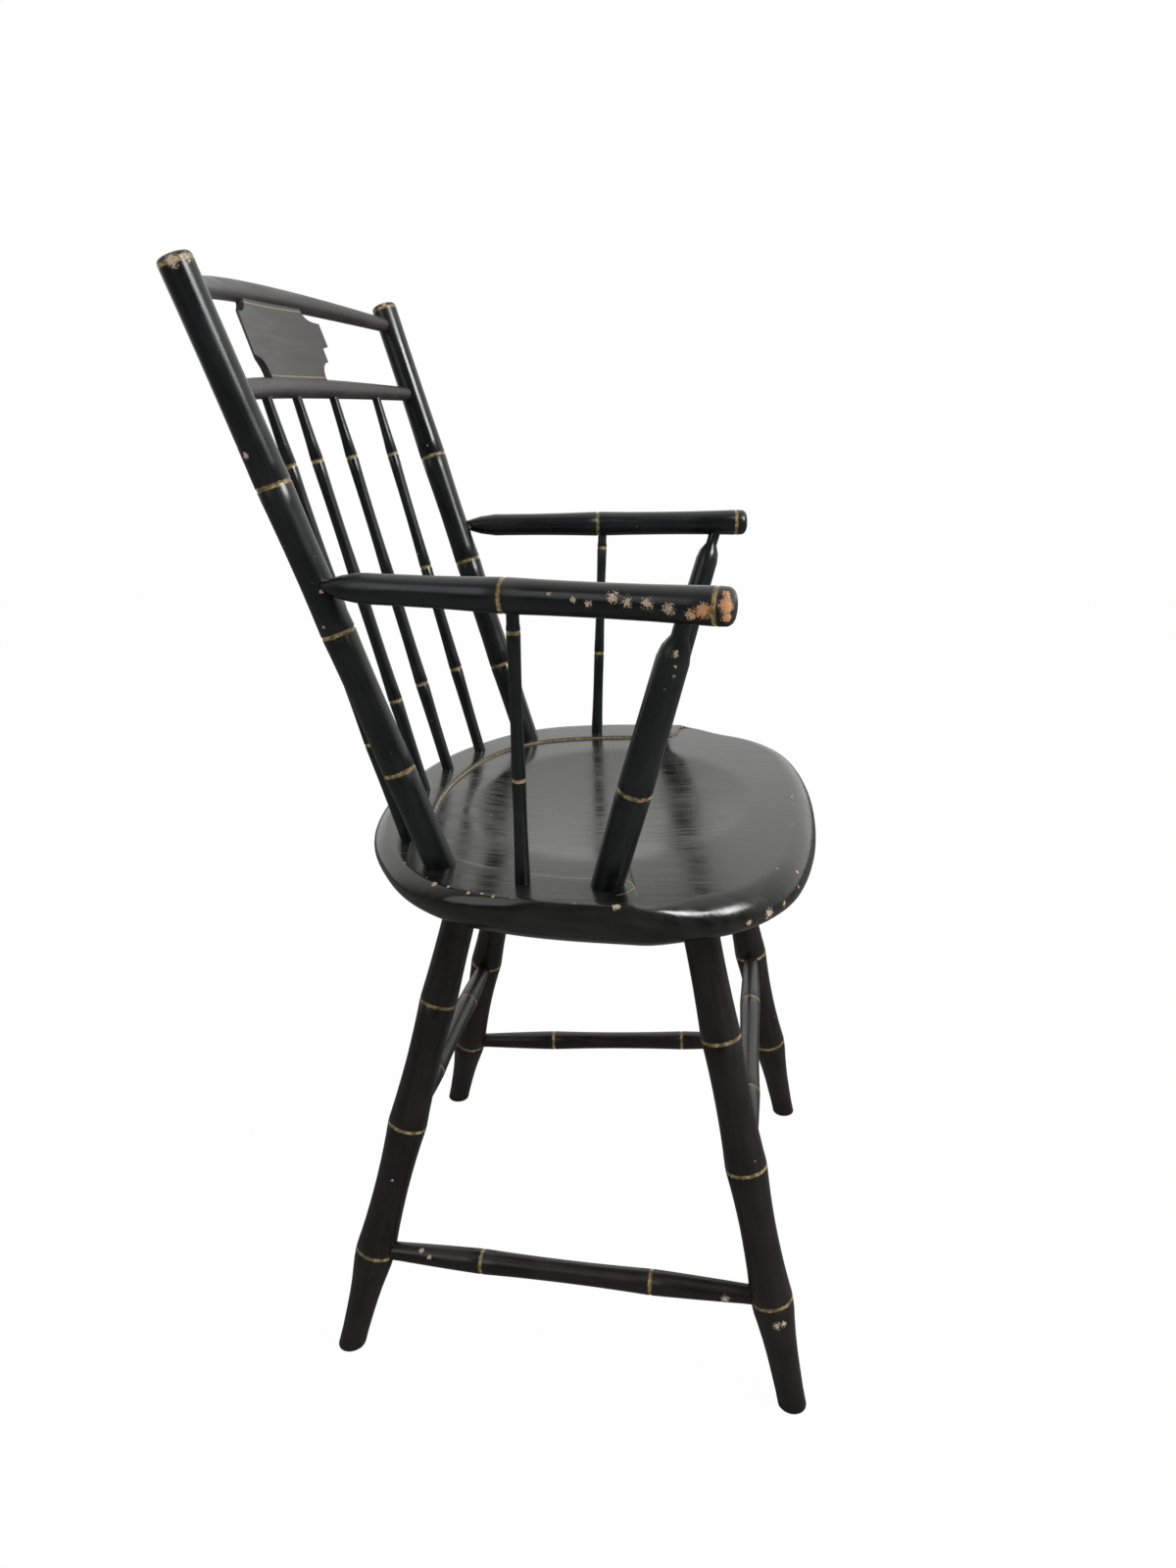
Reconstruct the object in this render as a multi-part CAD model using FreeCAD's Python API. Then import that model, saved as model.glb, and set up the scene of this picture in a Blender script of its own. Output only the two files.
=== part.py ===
import FreeCAD, Part
import math
import os
from FreeCAD import Vector

# A birdcage armchair on four splayed legs: a plank seat with every turned rod socketed into it.
# Millimetres. +Z is up, -Y is the front, the origin is on the floor in the middle of the four feet.

# Overall sizes
seat_height = 450.5          # floor to the flat rim of the seat
seat_width = 450.0           # across the arris
seat_back = 163.0            # middle of the seat to its back edge
seat_front = 198.5           # middle of the seat to its front edge
seat_thick = 40.0
back_length = 437.0          # back post, measured along it from the seat
arm_height = 211.0           # arm centre line above the seat, at the back post

# Clearances
glue_gap = 0.12              # all round a tenon in its socket
end_gap = 0.5                # below the end of a tenon
house_gap = 0.15             # round the arm end and the medallion tongue

# Seat shaping
side_bulge = 2.0             # the side swells past the arris before it turns under
back_bulge = 11.0
bulge_depth = 10.5
back_bulge_in = 63.0         # the back bulge has grown in full this far inside the back edge
under_side = 29.0            # how far the underside lies inside the arris
under_back = 40.0
under_front = 54.0
rim_step = 2.4               # drop from the rim to the saddle at the gutter
rim_width = 38.0             # arris to gutter at the middle of the back
dish_depth = 7.5
dish_in_side = 84.0          # the dish's edge, inside the seat's
dish_in_back = 65.0
dish_in_front = 56.5
roll_width = 20.0            # rounded front edge
roll_drop = 19.0
roll_from = 132.5            # the arris fades away from here to there, behind the front edge
roll_full = 76.5

# Back posts: foot on the rim, lean per unit of height
post_in_side = 60.4
post_in_back = 78.0
post_splay = 0.0922
post_lean = 0.3136
post_ring_low = 79.5         # along the post, from the seat
post_ring_below_arm = 34.9862
post_ring_share = 0.53501    # from the arm up to the lower rail
post_tenon = 28.0
post_foot_r = 11.5
post_node_r = 12.2
post_waist_r = 11.6
post_top_r = 11.5

# Back rods between the seat and the lower rail
spindle_count = 5
spindle_to_post = 44.6       # outer rod to post, at the seat
spindle_to_post_top = 55.4409    # and at the lower rail
spindle_in_back = 18.0       # the middle rod's foot, inside the back edge
spindle_arc_fall = 0.0015    # the row of feet curves forward to the sides
spindle_ring_shift = (4.5, -2.5, 0.0)
spindle_tenon = 20.0
spindle_foot_r = 5.2
spindle_top_r = 3.9

# Bent rails between the posts
crest_below_top = 19.3726     # the crest rail's middle, under the top of the posts
rail_spacing = 61.5
rail_bow = 39.5              # how far the middle lies behind the ends
lower_rail_rise = 5.4
crest_rail_rise = 13.0
rail_mid_r = 8.1
rail_end_r = 6.0
rail_tenon = 4.0             # past the centre line of the post
rail_tenon_r = 5.5
rail_sunk = 2.5              # the shoulder, inside the post's side
rail_plain_past = 12.0       # the full thickness goes on past the outer rod
rail_taper_sections = 4

# Medallion sawn from a bent board
medallion_thick = 6.7
medallion_ahead = 5.0        # its face, in front of the rails' centre lines
medallion_half = 80.5
medallion_top_half = 54.5
medallion_foot_half = 57.0
medallion_tongue = 3.5       # let into each rail
medallion_ear_top = 16.5     # below the crest rail's middle
medallion_ear_foot = 22.0    # above the lower rail's middle
ear_flat = 9.0               # level stretch at an ear's tip
ear_bevel = 18.0             # the ears are thinned from behind
ear_edge = 1.6
broken_corner = (71.0, 10.5) # half width left, and height of the piece lost from the left ear

# Arms
arm_back_out = 8.1           # the arm end lies outside and in front of the post centre line
arm_back_forward = 8.0
arm_spread = 48.2            # how far the arm runs outward, back to front
arm_run = 271.2
arm_fall = 4.1
arm_ring_before = 5.0        # behind the arm spindle
arm_front_ring_in = 7.4805    # from the arm's front end
arm_shoulder = 29.0
arm_tip_r = 4.2
arm_tip_run = 3.0            # past the end point, inside the post
arm_swell_r = 8.4            # half way from the tip to the shoulder
arm_back_r = 10.4
arm_node_r = 11.7
arm_front_r = 12.2

# Pin through the arm end into the back post
pin_r = 2.4
pin_from_tip = 3.0
pin_proud = 0.4
pin_past_axis = 5.0
pin_drop = 1.0

# Arm posts and arm spindles
arm_post_in_side = 34.8
arm_post_in_front = 154.1
arm_post_from_end = 24.9805   # along the arm, from its front end
arm_post_tenon = 24.0
arm_post_foot_r = 11.7
arm_post_node_r = 12.3
arm_post_shoulder_r = 10.9
arm_post_neck_r = 5.6
arm_post_ring = 83.0
arm_post_neck = 24.0         # length of the neck under the arm's centre line
arm_spindle_in_side = 33.0
arm_spindle_y = 16.4
arm_spindle_at = 135.5       # along the arm, from its back end
arm_spindle_tenon = 18.0
arm_spindle_foot_r = 5.6
arm_spindle_node_r = 5.0
arm_spindle_waist_r = 4.3
arm_spindle_ring_low = 82.0
arm_spindle_ring_below = 24.0

# Legs: where each enters the seat's underside, inside its edges, and the lean per unit of height
front_leg_in = (67.6889, 91.1463)
rear_leg_in = (120.7265, 82.5467)
front_leg_lean = (-0.1018, 0.2006)
rear_leg_lean = (-0.193, -0.2654)
front_leg_nodes = (97.2, 211.2, 92.0)   # two above the floor, one below the seat
rear_leg_nodes = (88.7, 203.0, 101.0)
leg_foot_r = 11.3
leg_ankle_r = 12.0
leg_low_r = 16.9
leg_mid_r = 16.4
leg_high_r = 15.4
leg_waist_r = 14.2
leg_top_r = 13.6
leg_tenon = 25.0

# Stretchers
stretcher_end_r = 7.6
stretcher_node_r = 10.0
stretcher_waist_r = 8.9
stretcher_taper = 22.0       # from the leg's centre line
stretcher_rings = (0.287, 0.713)
cross_below_ring = 4.0       # the front and rear stretchers sit just below the middle ring
stretcher_past_axis = 2.0

# Scored rings
groove_half = 1.0
groove_depth = 0.5
node_land = 12.0             # level stretch beside a node that takes a socket
short_taper = 15.0
taper_step = 1.8

# Places that follow from the sizes above, with heights at the posts measured from the seat
half_seat = seat_width / 2
under_seat = seat_height - seat_thick
back_bulge_y = seat_back - back_bulge_in
roll_from_y = roll_from - seat_front
roll_full_y = roll_full - seat_front
post_foot_x = half_seat - post_in_side
post_foot_y = seat_back - post_in_back
post_run = math.sqrt(1 + post_splay ** 2 + post_lean ** 2)
crest_rail_z = back_length / post_run - crest_below_top
lower_rail_z = crest_rail_z - rail_spacing
arm_on_post = arm_height * post_run
rail_on_post = lower_rail_z * post_run
post_rings = [post_ring_low, arm_on_post - post_ring_below_arm,
              arm_on_post + post_ring_share * (rail_on_post - arm_on_post)]
spindle_rings = [ring + shift for ring, shift in zip(post_rings, spindle_ring_shift)]
spindle_reach = (spindle_count - 1) / 2
spindle_pitch = (post_foot_x - spindle_to_post) / spindle_reach
spindle_pitch_top = (post_foot_x + post_splay * lower_rail_z - spindle_to_post_top) / spindle_reach
rail_plain = spindle_reach * spindle_pitch_top + rail_plain_past
rail_shoulder = post_top_r - rail_sunk
dish_half_x = half_seat - dish_in_side
dish_half_y = (seat_back - dish_in_back + seat_front - dish_in_front) / 2
dish_y = (seat_back - dish_in_back - seat_front + dish_in_front) / 2
arm_length = math.sqrt(arm_spread ** 2 + arm_run ** 2 + arm_fall ** 2)
arm_ring = arm_spindle_at - arm_ring_before
arm_front_ring = arm_length - arm_front_ring_in
arm_post_x = half_seat - arm_post_in_side
arm_post_y = arm_post_in_front - seat_front
arm_post_at = arm_length - arm_post_from_end
arm_spindle_x = half_seat - arm_spindle_in_side
arm_spindle_rings = [arm_spindle_ring_low, arm_height - arm_spindle_ring_below]


# Straight lines in space

def unit(v):
    return v * (1.0 / v.Length)


def leaning(foot_x, foot_y, foot_z, lean_x, lean_y):
    """A foot point and the direction of a rod that leans per unit of height."""
    return Vector(foot_x, foot_y, foot_z), unit(Vector(lean_x, lean_y, 1.0))


# Turned work

def straight(a, b):
    """A long taper is straight splines, each over a small change of radius; the rest are lines."""
    if abs(a.x - b.x) < 1e-6 or abs(a.z - b.z) < short_taper:
        return [Part.makeLine(a, b)]
    count = math.ceil(abs(a.x - b.x) / taper_step)
    points = [a + (b - a) * (i / count) for i in range(count + 1)]
    return [Part.BSplineCurve([p, q], [2, 2], [0.0, 1.0], False, 1).toShape()
            for p, q in zip(points, points[1:])]


def turned(start, direction, profile):
    """Revolve (distance, radius) stations; a third value is the radius half way to that station."""
    points = [Vector(0, 0, profile[0][0])]
    for entry in profile:
        last = points[-1]
        if len(entry) == 3:
            points.append(Vector(entry[2], 0, (last.z + entry[0]) / 2))
        points.append(Vector(entry[1], 0, entry[0]))
    points.append(Vector(0, 0, points[-1].z))
    edges = []
    for a, b in zip(points, points[1:] + points[:1]):
        edges += straight(a, b)
    solid = Part.Face(Part.Wire(edges)).revolve(Vector(0, 0, 0), Vector(0, 0, 1), 360)
    solid.Placement = FreeCAD.Placement(start, FreeCAD.Rotation(Vector(0, 0, 1), direction))
    return solid


def ringed(at, radius, waist, land=0.0, land_above=None):
    """The scored ring at a node, after the waist before it, with a level land on each side."""
    above = land if land_above is None else land_above
    low = at - groove_half
    high = at + groove_half
    stations = [(low - land, radius, waist)]
    if land:
        stations.append((low, radius))
    stations += [(low, radius - groove_depth), (high, radius - groove_depth), (high, radius)]
    if above:
        stations.append((high + above, radius))
    return stations


def swelled(at, radius, waist):
    """The node of a thin rod is only swelled, after the waist before it."""
    return [(at, radius, waist)]


def rod(start, direction, low, high, radius):
    """A plain cylinder from one distance to another along a line."""
    base = start + direction * low
    return Part.makeCylinder(radius, high - low, base, direction)


def socket(start, direction, low, high, radius):
    return rod(start, direction, low - end_gap, high, radius + glue_gap)


# Where each rod stands

def post_line(side):
    return leaning(side * post_foot_x, post_foot_y, seat_height, side * post_splay, post_lean)


def post_point(side, above_seat):
    foot = Vector(side * post_foot_x, post_foot_y, seat_height)
    return foot + Vector(side * post_splay, post_lean, 1.0) * above_seat


def rail_arc(above_seat, rise):
    left = post_point(-1, above_seat)
    right = post_point(1, above_seat)
    middle = (left + right) * 0.5 + Vector(0, rail_bow, rise)
    return Part.Arc(left, middle, right)


def spindle_line(index):
    place = index - (spindle_count - 1) / 2
    foot_x = place * spindle_pitch
    foot_y = seat_back - spindle_in_back - spindle_arc_fall * foot_x ** 2
    foot = Vector(foot_x, foot_y, seat_height)
    rail = rail_arc(lower_rail_z, lower_rail_rise)
    cut_plane = Part.Plane(Vector(place * spindle_pitch_top, 0, 0), Vector(1, 0, 0))
    hit = cut_plane.intersect(rail)[0][0]
    top = Vector(hit.X, hit.Y, hit.Z)
    return foot, top


def arm_line(side):
    at_post = post_point(side, arm_height)
    back = at_post + Vector(side * arm_back_out, -arm_back_forward, 0)
    front = back + Vector(side * arm_spread, -arm_run, -arm_fall)
    return back, unit(front - back)


def arm_support_line(side, foot_x, foot_y, along):
    foot = Vector(side * foot_x, foot_y, seat_height)
    back, direction = arm_line(side)
    return foot, back + direction * along


def leg_line(side, front):
    """From the floor up, through the leg's place in the seat."""
    lean = front_leg_lean if front else rear_leg_lean
    if front:
        top = (half_seat - front_leg_in[0], front_leg_in[1] - seat_front)
    else:
        top = (half_seat - rear_leg_in[0], seat_back - rear_leg_in[1])
    foot_x = top[0] - lean[0] * under_seat
    foot_y = top[1] - lean[1] * under_seat
    return leaning(side * foot_x, foot_y, 0, side * lean[0], lean[1])


def leg_node_heights(front):
    low, middle, below = front_leg_nodes if front else rear_leg_nodes
    return low, middle, under_seat - below


def leg_point(side, front, height):
    start, direction = leg_line(side, front)
    return start + direction * (height / direction.z)


# The seat

seat_shape = [
    (0.0, 1.0), (0.261, 0.969), (0.472, 0.892), (0.644, 0.773), (0.793, 0.625), (0.907, 0.424),
    (0.968, 0.157), (0.992, -0.085), (0.999, -0.307), (1.0, -0.42), (0.97, -0.543),
    (0.905, -0.696), (0.79, -0.826), (0.62, -0.92), (0.332, -0.981), (0.0, -1.0)]


def seat_outline_points():
    """Half the plan, as shares of the half width and of the depth behind and before the middle."""
    half = []
    for across, along in seat_shape:
        depth = seat_back if along > 0 else seat_front
        half.append(Vector(across * half_seat, along * depth, 0))
    other = [Vector(-p.x, p.y, 0) for p in reversed(half[1:-1])]
    return half + other


def front_share(y):
    """0 on the sides and back, 1 along the rolled front edge."""
    share = min(1.0, max(0.0, (roll_from_y - y) / (roll_from_y - roll_full_y)))
    return share * share * (3 - 2 * share)


def quarter_inset(reach, depth, full_depth):
    """How far a quarter ellipse has drawn in at a depth below its widest place."""
    share = min(1.0, max(0.0, depth / full_depth))
    return reach * (1 - math.sqrt(1 - share * share))


def side_inset(depth, y):
    """The sides swell a little below the arris and then turn under, the back more than the rest."""
    share = min(1.0, max(0.0, y / back_bulge_y))
    bulge = side_bulge + (back_bulge - side_bulge) * share
    under = under_side + (under_back - under_side) * share
    if depth < bulge_depth:
        return -bulge * (1 - (1 - depth / bulge_depth) ** 2)
    return -bulge + quarter_inset(under + bulge, depth - bulge_depth, seat_thick - bulge_depth)


def front_inset(depth):
    """The front turns over from the saddle and then turns under."""
    widest = rim_step + roll_drop
    roll = quarter_inset(roll_width, widest - depth, roll_drop)
    return roll + quarter_inset(under_front, depth - widest, seat_thick - widest)


def seat_section(depth):
    """The plan of the seat at a depth below the rim."""
    outline = seat_outline_points()
    moved = []
    for i, point in enumerate(outline):
        along = unit(outline[(i + 1) % len(outline)] - outline[i - 1])
        inward = Vector(along.y, -along.x, 0)
        share = front_share(point.y)
        inset = side_inset(depth, point.y) * (1 - share) + front_inset(depth) * share
        moved.append(point + inward * inset)
    return closed_curve(moved, seat_height - depth)


def closed_curve(points, height):
    curve = Part.BSplineCurve()
    flat = [Vector(p.x, p.y, height) for p in points]
    evenly = [float(i) for i in range(len(points) + 1)]
    curve.interpolate(Points=flat, PeriodicFlag=True, Parameters=evenly)
    return Part.Wire(curve.toShape())


def seat_blank():
    """A thin rim layer over a body whose depths crowd together where the front turns over."""
    rim = Part.makeLoft([seat_section(0.0), seat_section(rim_step)], True, True)
    widest = rim_step + roll_drop
    depths = []
    for degrees in (0, 30, 60, 90):
        depths.append(widest - roll_drop * math.cos(math.radians(degrees)))
    for degrees in (45, 90):
        depths.append(widest + (seat_thick - widest) * math.sin(math.radians(degrees)))
    body = Part.makeLoft([seat_section(depth) for depth in depths], True, True)
    return rim.fuse(body)


def saddle_region():
    """Plan of everything inside the gutter, open to the front past the arm posts."""
    x = arm_post_x
    y = arm_post_y
    half = [Vector(half_seat + 14, y - 24, 0), Vector(half_seat - 8, y - 23.5, 0),
            Vector(x + 9, y - 22, 0), Vector(x - 5, y - 12.5, 0),
            Vector(x - 11.5, y + 6, 0), Vector(x - 12, y + 29, 0),
            Vector(half_seat - 51, seat_back - 148, 0), Vector(half_seat - 60, seat_back - 115, 0),
            Vector(half_seat - 75, seat_back - 87, 0), Vector(half_seat - 105, seat_back - 63, 0),
            Vector(half_seat * 0.35, seat_back - rim_width - 9, 0),
            Vector(half_seat * 0.13, seat_back - rim_width - 1, 0)]
    middle = Vector(0, seat_back - rim_width, 0)
    other = [Vector(-p.x, p.y, 0) for p in reversed(half)]
    curve = Part.BSplineCurve()
    curve.interpolate(Points=half + [middle] + other)
    far = seat_front + 30
    corners = [half[0], Vector(half[0].x, -far, 0), Vector(-half[0].x, -far, 0), other[-1]]
    edges = [curve.toShape()]
    edges += [Part.makeLine(a, b) for a, b in zip(corners, corners[1:])]
    return Part.Face(Part.Wire(edges))


def dish_bowl():
    """An elliptic bowl as a second-degree patch: its height is d (x*x/a*a + y*y/b*b - 1)."""
    past = 1.08
    square = (past ** 2, -past ** 2, past ** 2)
    patch = Part.BezierSurface()
    patch.increase(2, 2)
    for i, across in enumerate((-past, 0.0, past)):
        for j, along in enumerate((-past, 0.0, past)):
            height = dish_depth * (square[i] + square[j] - 1)
            pole = Vector(across * dish_half_x, along * dish_half_y, height)
            patch.setPole(i + 1, j + 1, pole)
    return patch.toShape().extrude(Vector(0, 0, 4 * dish_depth))


def saddle_cutter():
    """The sunk level inside the gutter, and the shallow dish that the sitter fits."""
    level = seat_height - rim_step
    region = saddle_region()
    region.translate(Vector(0, 0, level))
    sunk = region.extrude(Vector(0, 0, 20))
    bowl = dish_bowl()
    bowl.translate(Vector(0, dish_y, level))
    return sunk, bowl


def seat():
    body = seat_blank().cut(saddle_cutter())
    holes = []
    for side in (-1, 1):
        start, direction = post_line(side)
        holes.append(socket(start, direction, -post_tenon, 12, post_foot_r))
        foot, top = arm_support_line(side, arm_post_x, arm_post_y, arm_post_at)
        holes.append(socket(foot, unit(top - foot), -arm_post_tenon, 12, arm_post_foot_r))
        foot, top = arm_support_line(side, arm_spindle_x, arm_spindle_y, arm_spindle_at)
        holes.append(socket(foot, unit(top - foot), -arm_spindle_tenon, 12, arm_spindle_foot_r))
        for front in (True, False):
            under = leg_point(side, front, under_seat)
            up = leg_line(side, front)[1]
            holes.append(rod(under, up, -12, leg_tenon + end_gap, leg_top_r + glue_gap))
    for index in range(spindle_count):
        foot, top = spindle_line(index)
        holes.append(socket(foot, unit(top - foot), -spindle_tenon, 12, spindle_foot_r))
    return body.cut(holes)


# Legs and stretchers

def leg(side, front):
    start, direction = leg_line(side, front)
    rings = [height / direction.z for height in leg_node_heights(front)]
    under = under_seat / direction.z
    profile = [(-12.0, leg_foot_r), (14.0, leg_foot_r), (34.0, leg_ankle_r)]
    profile += ringed(rings[0], leg_low_r, leg_ankle_r + 2.6, node_land)
    profile += ringed(rings[1], leg_mid_r, leg_waist_r, node_land + cross_below_ring, node_land)
    profile += ringed(rings[2], leg_high_r, leg_waist_r)
    profile += [(under - 12.0, leg_top_r, leg_top_r + 0.2), (under + leg_tenon, leg_top_r)]
    body = turned(start, direction, profile)
    floor = Part.makeBox(200, 200, 60, Vector(start.x - 100, start.y - 100, -60))
    body = body.cut(floor)
    for other, past, radius in stretcher_ends(side, front):
        point, toward = other
        body = body.cut(rod(point, toward, -past - end_gap, 40, radius + glue_gap))
    return body


def stretcher_ends(side, front):
    """Each socket in a leg: the point on its centre line, the direction out, depth and radius."""
    ends = []
    near, far = side_stretcher_line(side)
    point, other = (near, far) if front else (far, near)
    ends.append(((point, unit(other - point)), stretcher_past_axis, stretcher_end_r))
    left, right = cross_stretcher_line(front)
    point, other = (left, right) if side < 0 else (right, left)
    ends.append(((point, unit(other - point)), stretcher_past_axis, stretcher_end_r))
    return ends


def side_stretcher_line(side):
    return (leg_point(side, True, front_leg_nodes[0]), leg_point(side, False, rear_leg_nodes[0]))


def cross_stretcher_line(front):
    height = leg_node_heights(front)[1] - cross_below_ring
    return leg_point(-1, front, height), leg_point(1, front, height)


def stretcher(near, far):
    length = (far - near).Length
    first, second = [share * length for share in stretcher_rings]
    profile = [(-stretcher_past_axis, stretcher_end_r), (stretcher_taper, stretcher_end_r)]
    profile += swelled(first, stretcher_node_r, stretcher_end_r + 1.4)
    profile += swelled(second, stretcher_node_r, stretcher_waist_r)
    profile += [(length - stretcher_taper, stretcher_end_r, stretcher_end_r + 1.4)]
    profile += [(length + stretcher_past_axis, stretcher_end_r)]
    return turned(near, unit(far - near), profile)


# The back

def back_post(side):
    start, direction = post_line(side)
    profile = [(-post_tenon, post_foot_r), (8.0, post_foot_r)]
    profile += ringed(post_rings[0], post_node_r, post_foot_r + 0.2)
    profile += ringed(post_rings[1], post_node_r, post_waist_r)
    profile += [(arm_height - arm_back_r - 6.0, post_waist_r), (arm_height + 3 * arm_back_r, post_waist_r)]
    profile += ringed(post_rings[2], post_node_r, post_waist_r + 0.2)
    profile += [(post_rings[2] + 14.0, post_top_r), (back_length - 4.0, post_top_r)]
    profile += [(back_length - 1.0, post_top_r - 0.8), (back_length + 0.6, post_top_r - 3.2)]
    body = turned(start, direction, profile)
    body = body.cut(arm_body(side, house_gap))
    body = body.cut(pin_body(side, glue_gap))
    for above_seat, rise in ((lower_rail_z, lower_rail_rise), (crest_rail_z, crest_rail_rise)):
        point, inward = rail_end(rail_arc(above_seat, rise), side)
        bottom = -rail_shoulder - rail_tenon - end_gap
        body = body.cut(rod(point, inward, bottom, 30, rail_end_r + glue_gap))
    return body


def rail_end(arc, side, along=rail_shoulder):
    """A place near the rail's end, and the direction from there along the rail."""
    distance = along if side < 0 else arc.length() - along
    where = arc.parameterAtDistance(distance, arc.FirstParameter)
    return arc.value(where), unit(arc.tangent(where)[0]) * -side


def bent_rail(above_seat, rise):
    """A plain bent stretch in the middle, a taper to each post and a tenon past each shoulder."""
    arc = rail_arc(above_seat, rise)
    bend = arc.toShape().Curve
    taper_from = arc.length() / 2 - rail_plain
    start, along = rail_end(arc, -1, taper_from)
    section = Part.Face(Part.Wire(Part.Circle(start, along, rail_mid_r).toShape()))
    turn = math.degrees(2 * rail_plain / bend.Radius)
    body = section.revolve(bend.Center, bend.Axis, turn)
    for side in (-1, 1):
        sections = []
        for i in range(rail_taper_sections):
            share = i / (rail_taper_sections - 1)
            place = taper_from + (rail_shoulder - taper_from) * share
            point, direction = rail_end(arc, side, place)
            radius = rail_mid_r + (rail_end_r - rail_mid_r) * math.sin(math.pi / 2 * share)
            sections.append(Part.Wire(Part.Circle(point, direction, radius).toShape()))
        body = body.fuse(Part.makeLoft(sections, True, True))
        point, inward = rail_end(arc, side)
        body = body.fuse(rod(point, inward, -rail_shoulder - rail_tenon, 6.0, rail_tenon_r))
    return body


def medallion_outline(grow):
    """Sawn outline of the board in the XZ plane: coved corners, with a square ear between them."""
    lower = rail_mid_height(lower_rail_z, lower_rail_rise)
    crest = rail_mid_height(crest_rail_z, crest_rail_rise)
    foot = lower + rail_mid_r - medallion_tongue - grow
    head = crest - rail_mid_r + medallion_tongue + grow
    low_ear = lower + medallion_ear_foot
    high_ear = crest - medallion_ear_top
    neck_low = medallion_foot_half + grow
    neck_high = medallion_top_half + grow
    ear = medallion_half
    corner = [Vector(neck_low, 0, foot), Vector(neck_low, 0, low_ear - 12.0),
              Vector(ear - ear_flat, 0, low_ear - 0.6), Vector(ear, 0, low_ear + 1.0),
              Vector(ear - 1.5, 0, high_ear), Vector(ear - ear_flat - 1.5, 0, high_ear + 0.4),
              Vector(neck_high, 0, high_ear + 9.0), Vector(neck_high, 0, head)]
    edges = []
    for flip in (1, -1):
        p = [Vector(q.x * flip, 0, q.z) for q in corner]
        low_mid = Vector(flip * (neck_low + 4.5), 0, low_ear - 4.0)
        high_mid = Vector(flip * (neck_high + 5.0), 0, high_ear + 3.4)
        edges.append(Part.makeLine(p[0], p[1]))
        edges.append(Part.Arc(p[1], low_mid, p[2]).toShape())
        edges.append(Part.makeLine(p[2], p[3]))
        edges.append(Part.makeLine(p[3], p[4]))
        edges.append(Part.makeLine(p[4], p[5]))
        edges.append(Part.Arc(p[5], high_mid, p[6]).toShape())
        edges.append(Part.makeLine(p[6], p[7]))
    edges.append(Part.makeLine(Vector(-neck_low, 0, foot), Vector(neck_low, 0, foot)))
    edges.append(Part.makeLine(Vector(-neck_high, 0, head), Vector(neck_high, 0, head)))
    return Part.Face(Part.Wire(Part.__sortEdges__(edges)))


def lost_corner():
    """What has broken away from the lower tip of the left ear, in the XZ plane."""
    left, height = broken_corner
    low_ear = rail_mid_height(lower_rail_z, lower_rail_rise) + medallion_ear_foot
    far = medallion_half + 20.0
    corners = [Vector(left, 0, low_ear - 10.0), Vector(far, 0, low_ear - 10.0),
               Vector(far, 0, low_ear + height + 4.0), Vector(left, 0, low_ear + height)]
    return Part.Face(Part.makePolygon(corners + corners[:1]))


def rail_mid_height(above_seat, rise):
    return seat_height + above_seat + rise


def bent_board(grow):
    """The bent board in plan, thinned from behind towards its ends, leaning like the posts."""
    below = 30.0
    bend = rail_arc(lower_rail_z, 0).toShape().Curve
    front = bend.Radius - medallion_ahead - grow
    back = front + medallion_thick + 2 * grow

    def place(radius, x):
        return Vector(x, bend.Center.y + math.sqrt(radius ** 2 - x ** 2), bend.Center.z)

    tip = medallion_half + 1.0
    flat = medallion_half - ear_bevel
    edge = front + ear_edge + 2 * grow
    edges = [Part.Arc(place(front, -tip), place(front, 0), place(front, tip)).toShape(),
             Part.makeLine(place(front, tip), place(edge, tip)),
             Part.makeLine(place(edge, tip), place(back, flat)),
             Part.Arc(place(back, flat), place(back, 0), place(back, -flat)).toShape(),
             Part.makeLine(place(back, -flat), place(edge, -tip)),
             Part.makeLine(place(edge, -tip), place(front, -tip))]
    slab = Part.Face(Part.Wire(edges))
    rise = (lower_rail_rise + crest_rail_rise) / 2
    slab.translate(Vector(0, -post_lean * (below + rise), -below))
    return slab.extrude(Vector(0, post_lean, 1) * (crest_rail_z - lower_rail_z + 2 * below))


def crest_medallion(grow=0.0):
    plan = medallion_outline(grow)
    if not grow:
        plan = plan.cut(lost_corner())
    plan.translate(Vector(0, post_foot_y, 0))
    column = plan.extrude(Vector(0, 300, 0))
    return bent_board(grow).common(column)


def back_spindle(index):
    foot, top = spindle_line(index)
    length = (top - foot).Length
    first, second, third = spindle_rings
    profile = [(-spindle_tenon, spindle_foot_r), (6.0, spindle_foot_r)]
    profile += swelled(first, spindle_foot_r + 0.8, spindle_foot_r + 0.1)
    profile += swelled(second, spindle_foot_r + 0.3, spindle_foot_r)
    profile += swelled(third, spindle_foot_r, spindle_top_r + 0.8)
    profile += [(length - rail_mid_r - 4.0, spindle_top_r, spindle_top_r + 0.4)]
    profile += [(length + 3.0, spindle_top_r)]
    return turned(foot, unit(top - foot), profile)


def lower_rail():
    body = bent_rail(lower_rail_z, lower_rail_rise).cut(crest_medallion(house_gap))
    for index in range(spindle_count):
        foot, top = spindle_line(index)
        body = body.cut(rod(top, unit(foot - top), -3.0 - end_gap, 30, spindle_top_r + glue_gap))
    return body


def crest_rail():
    return bent_rail(crest_rail_z, crest_rail_rise).cut(crest_medallion(house_gap))


# Arms and what holds them up

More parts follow.
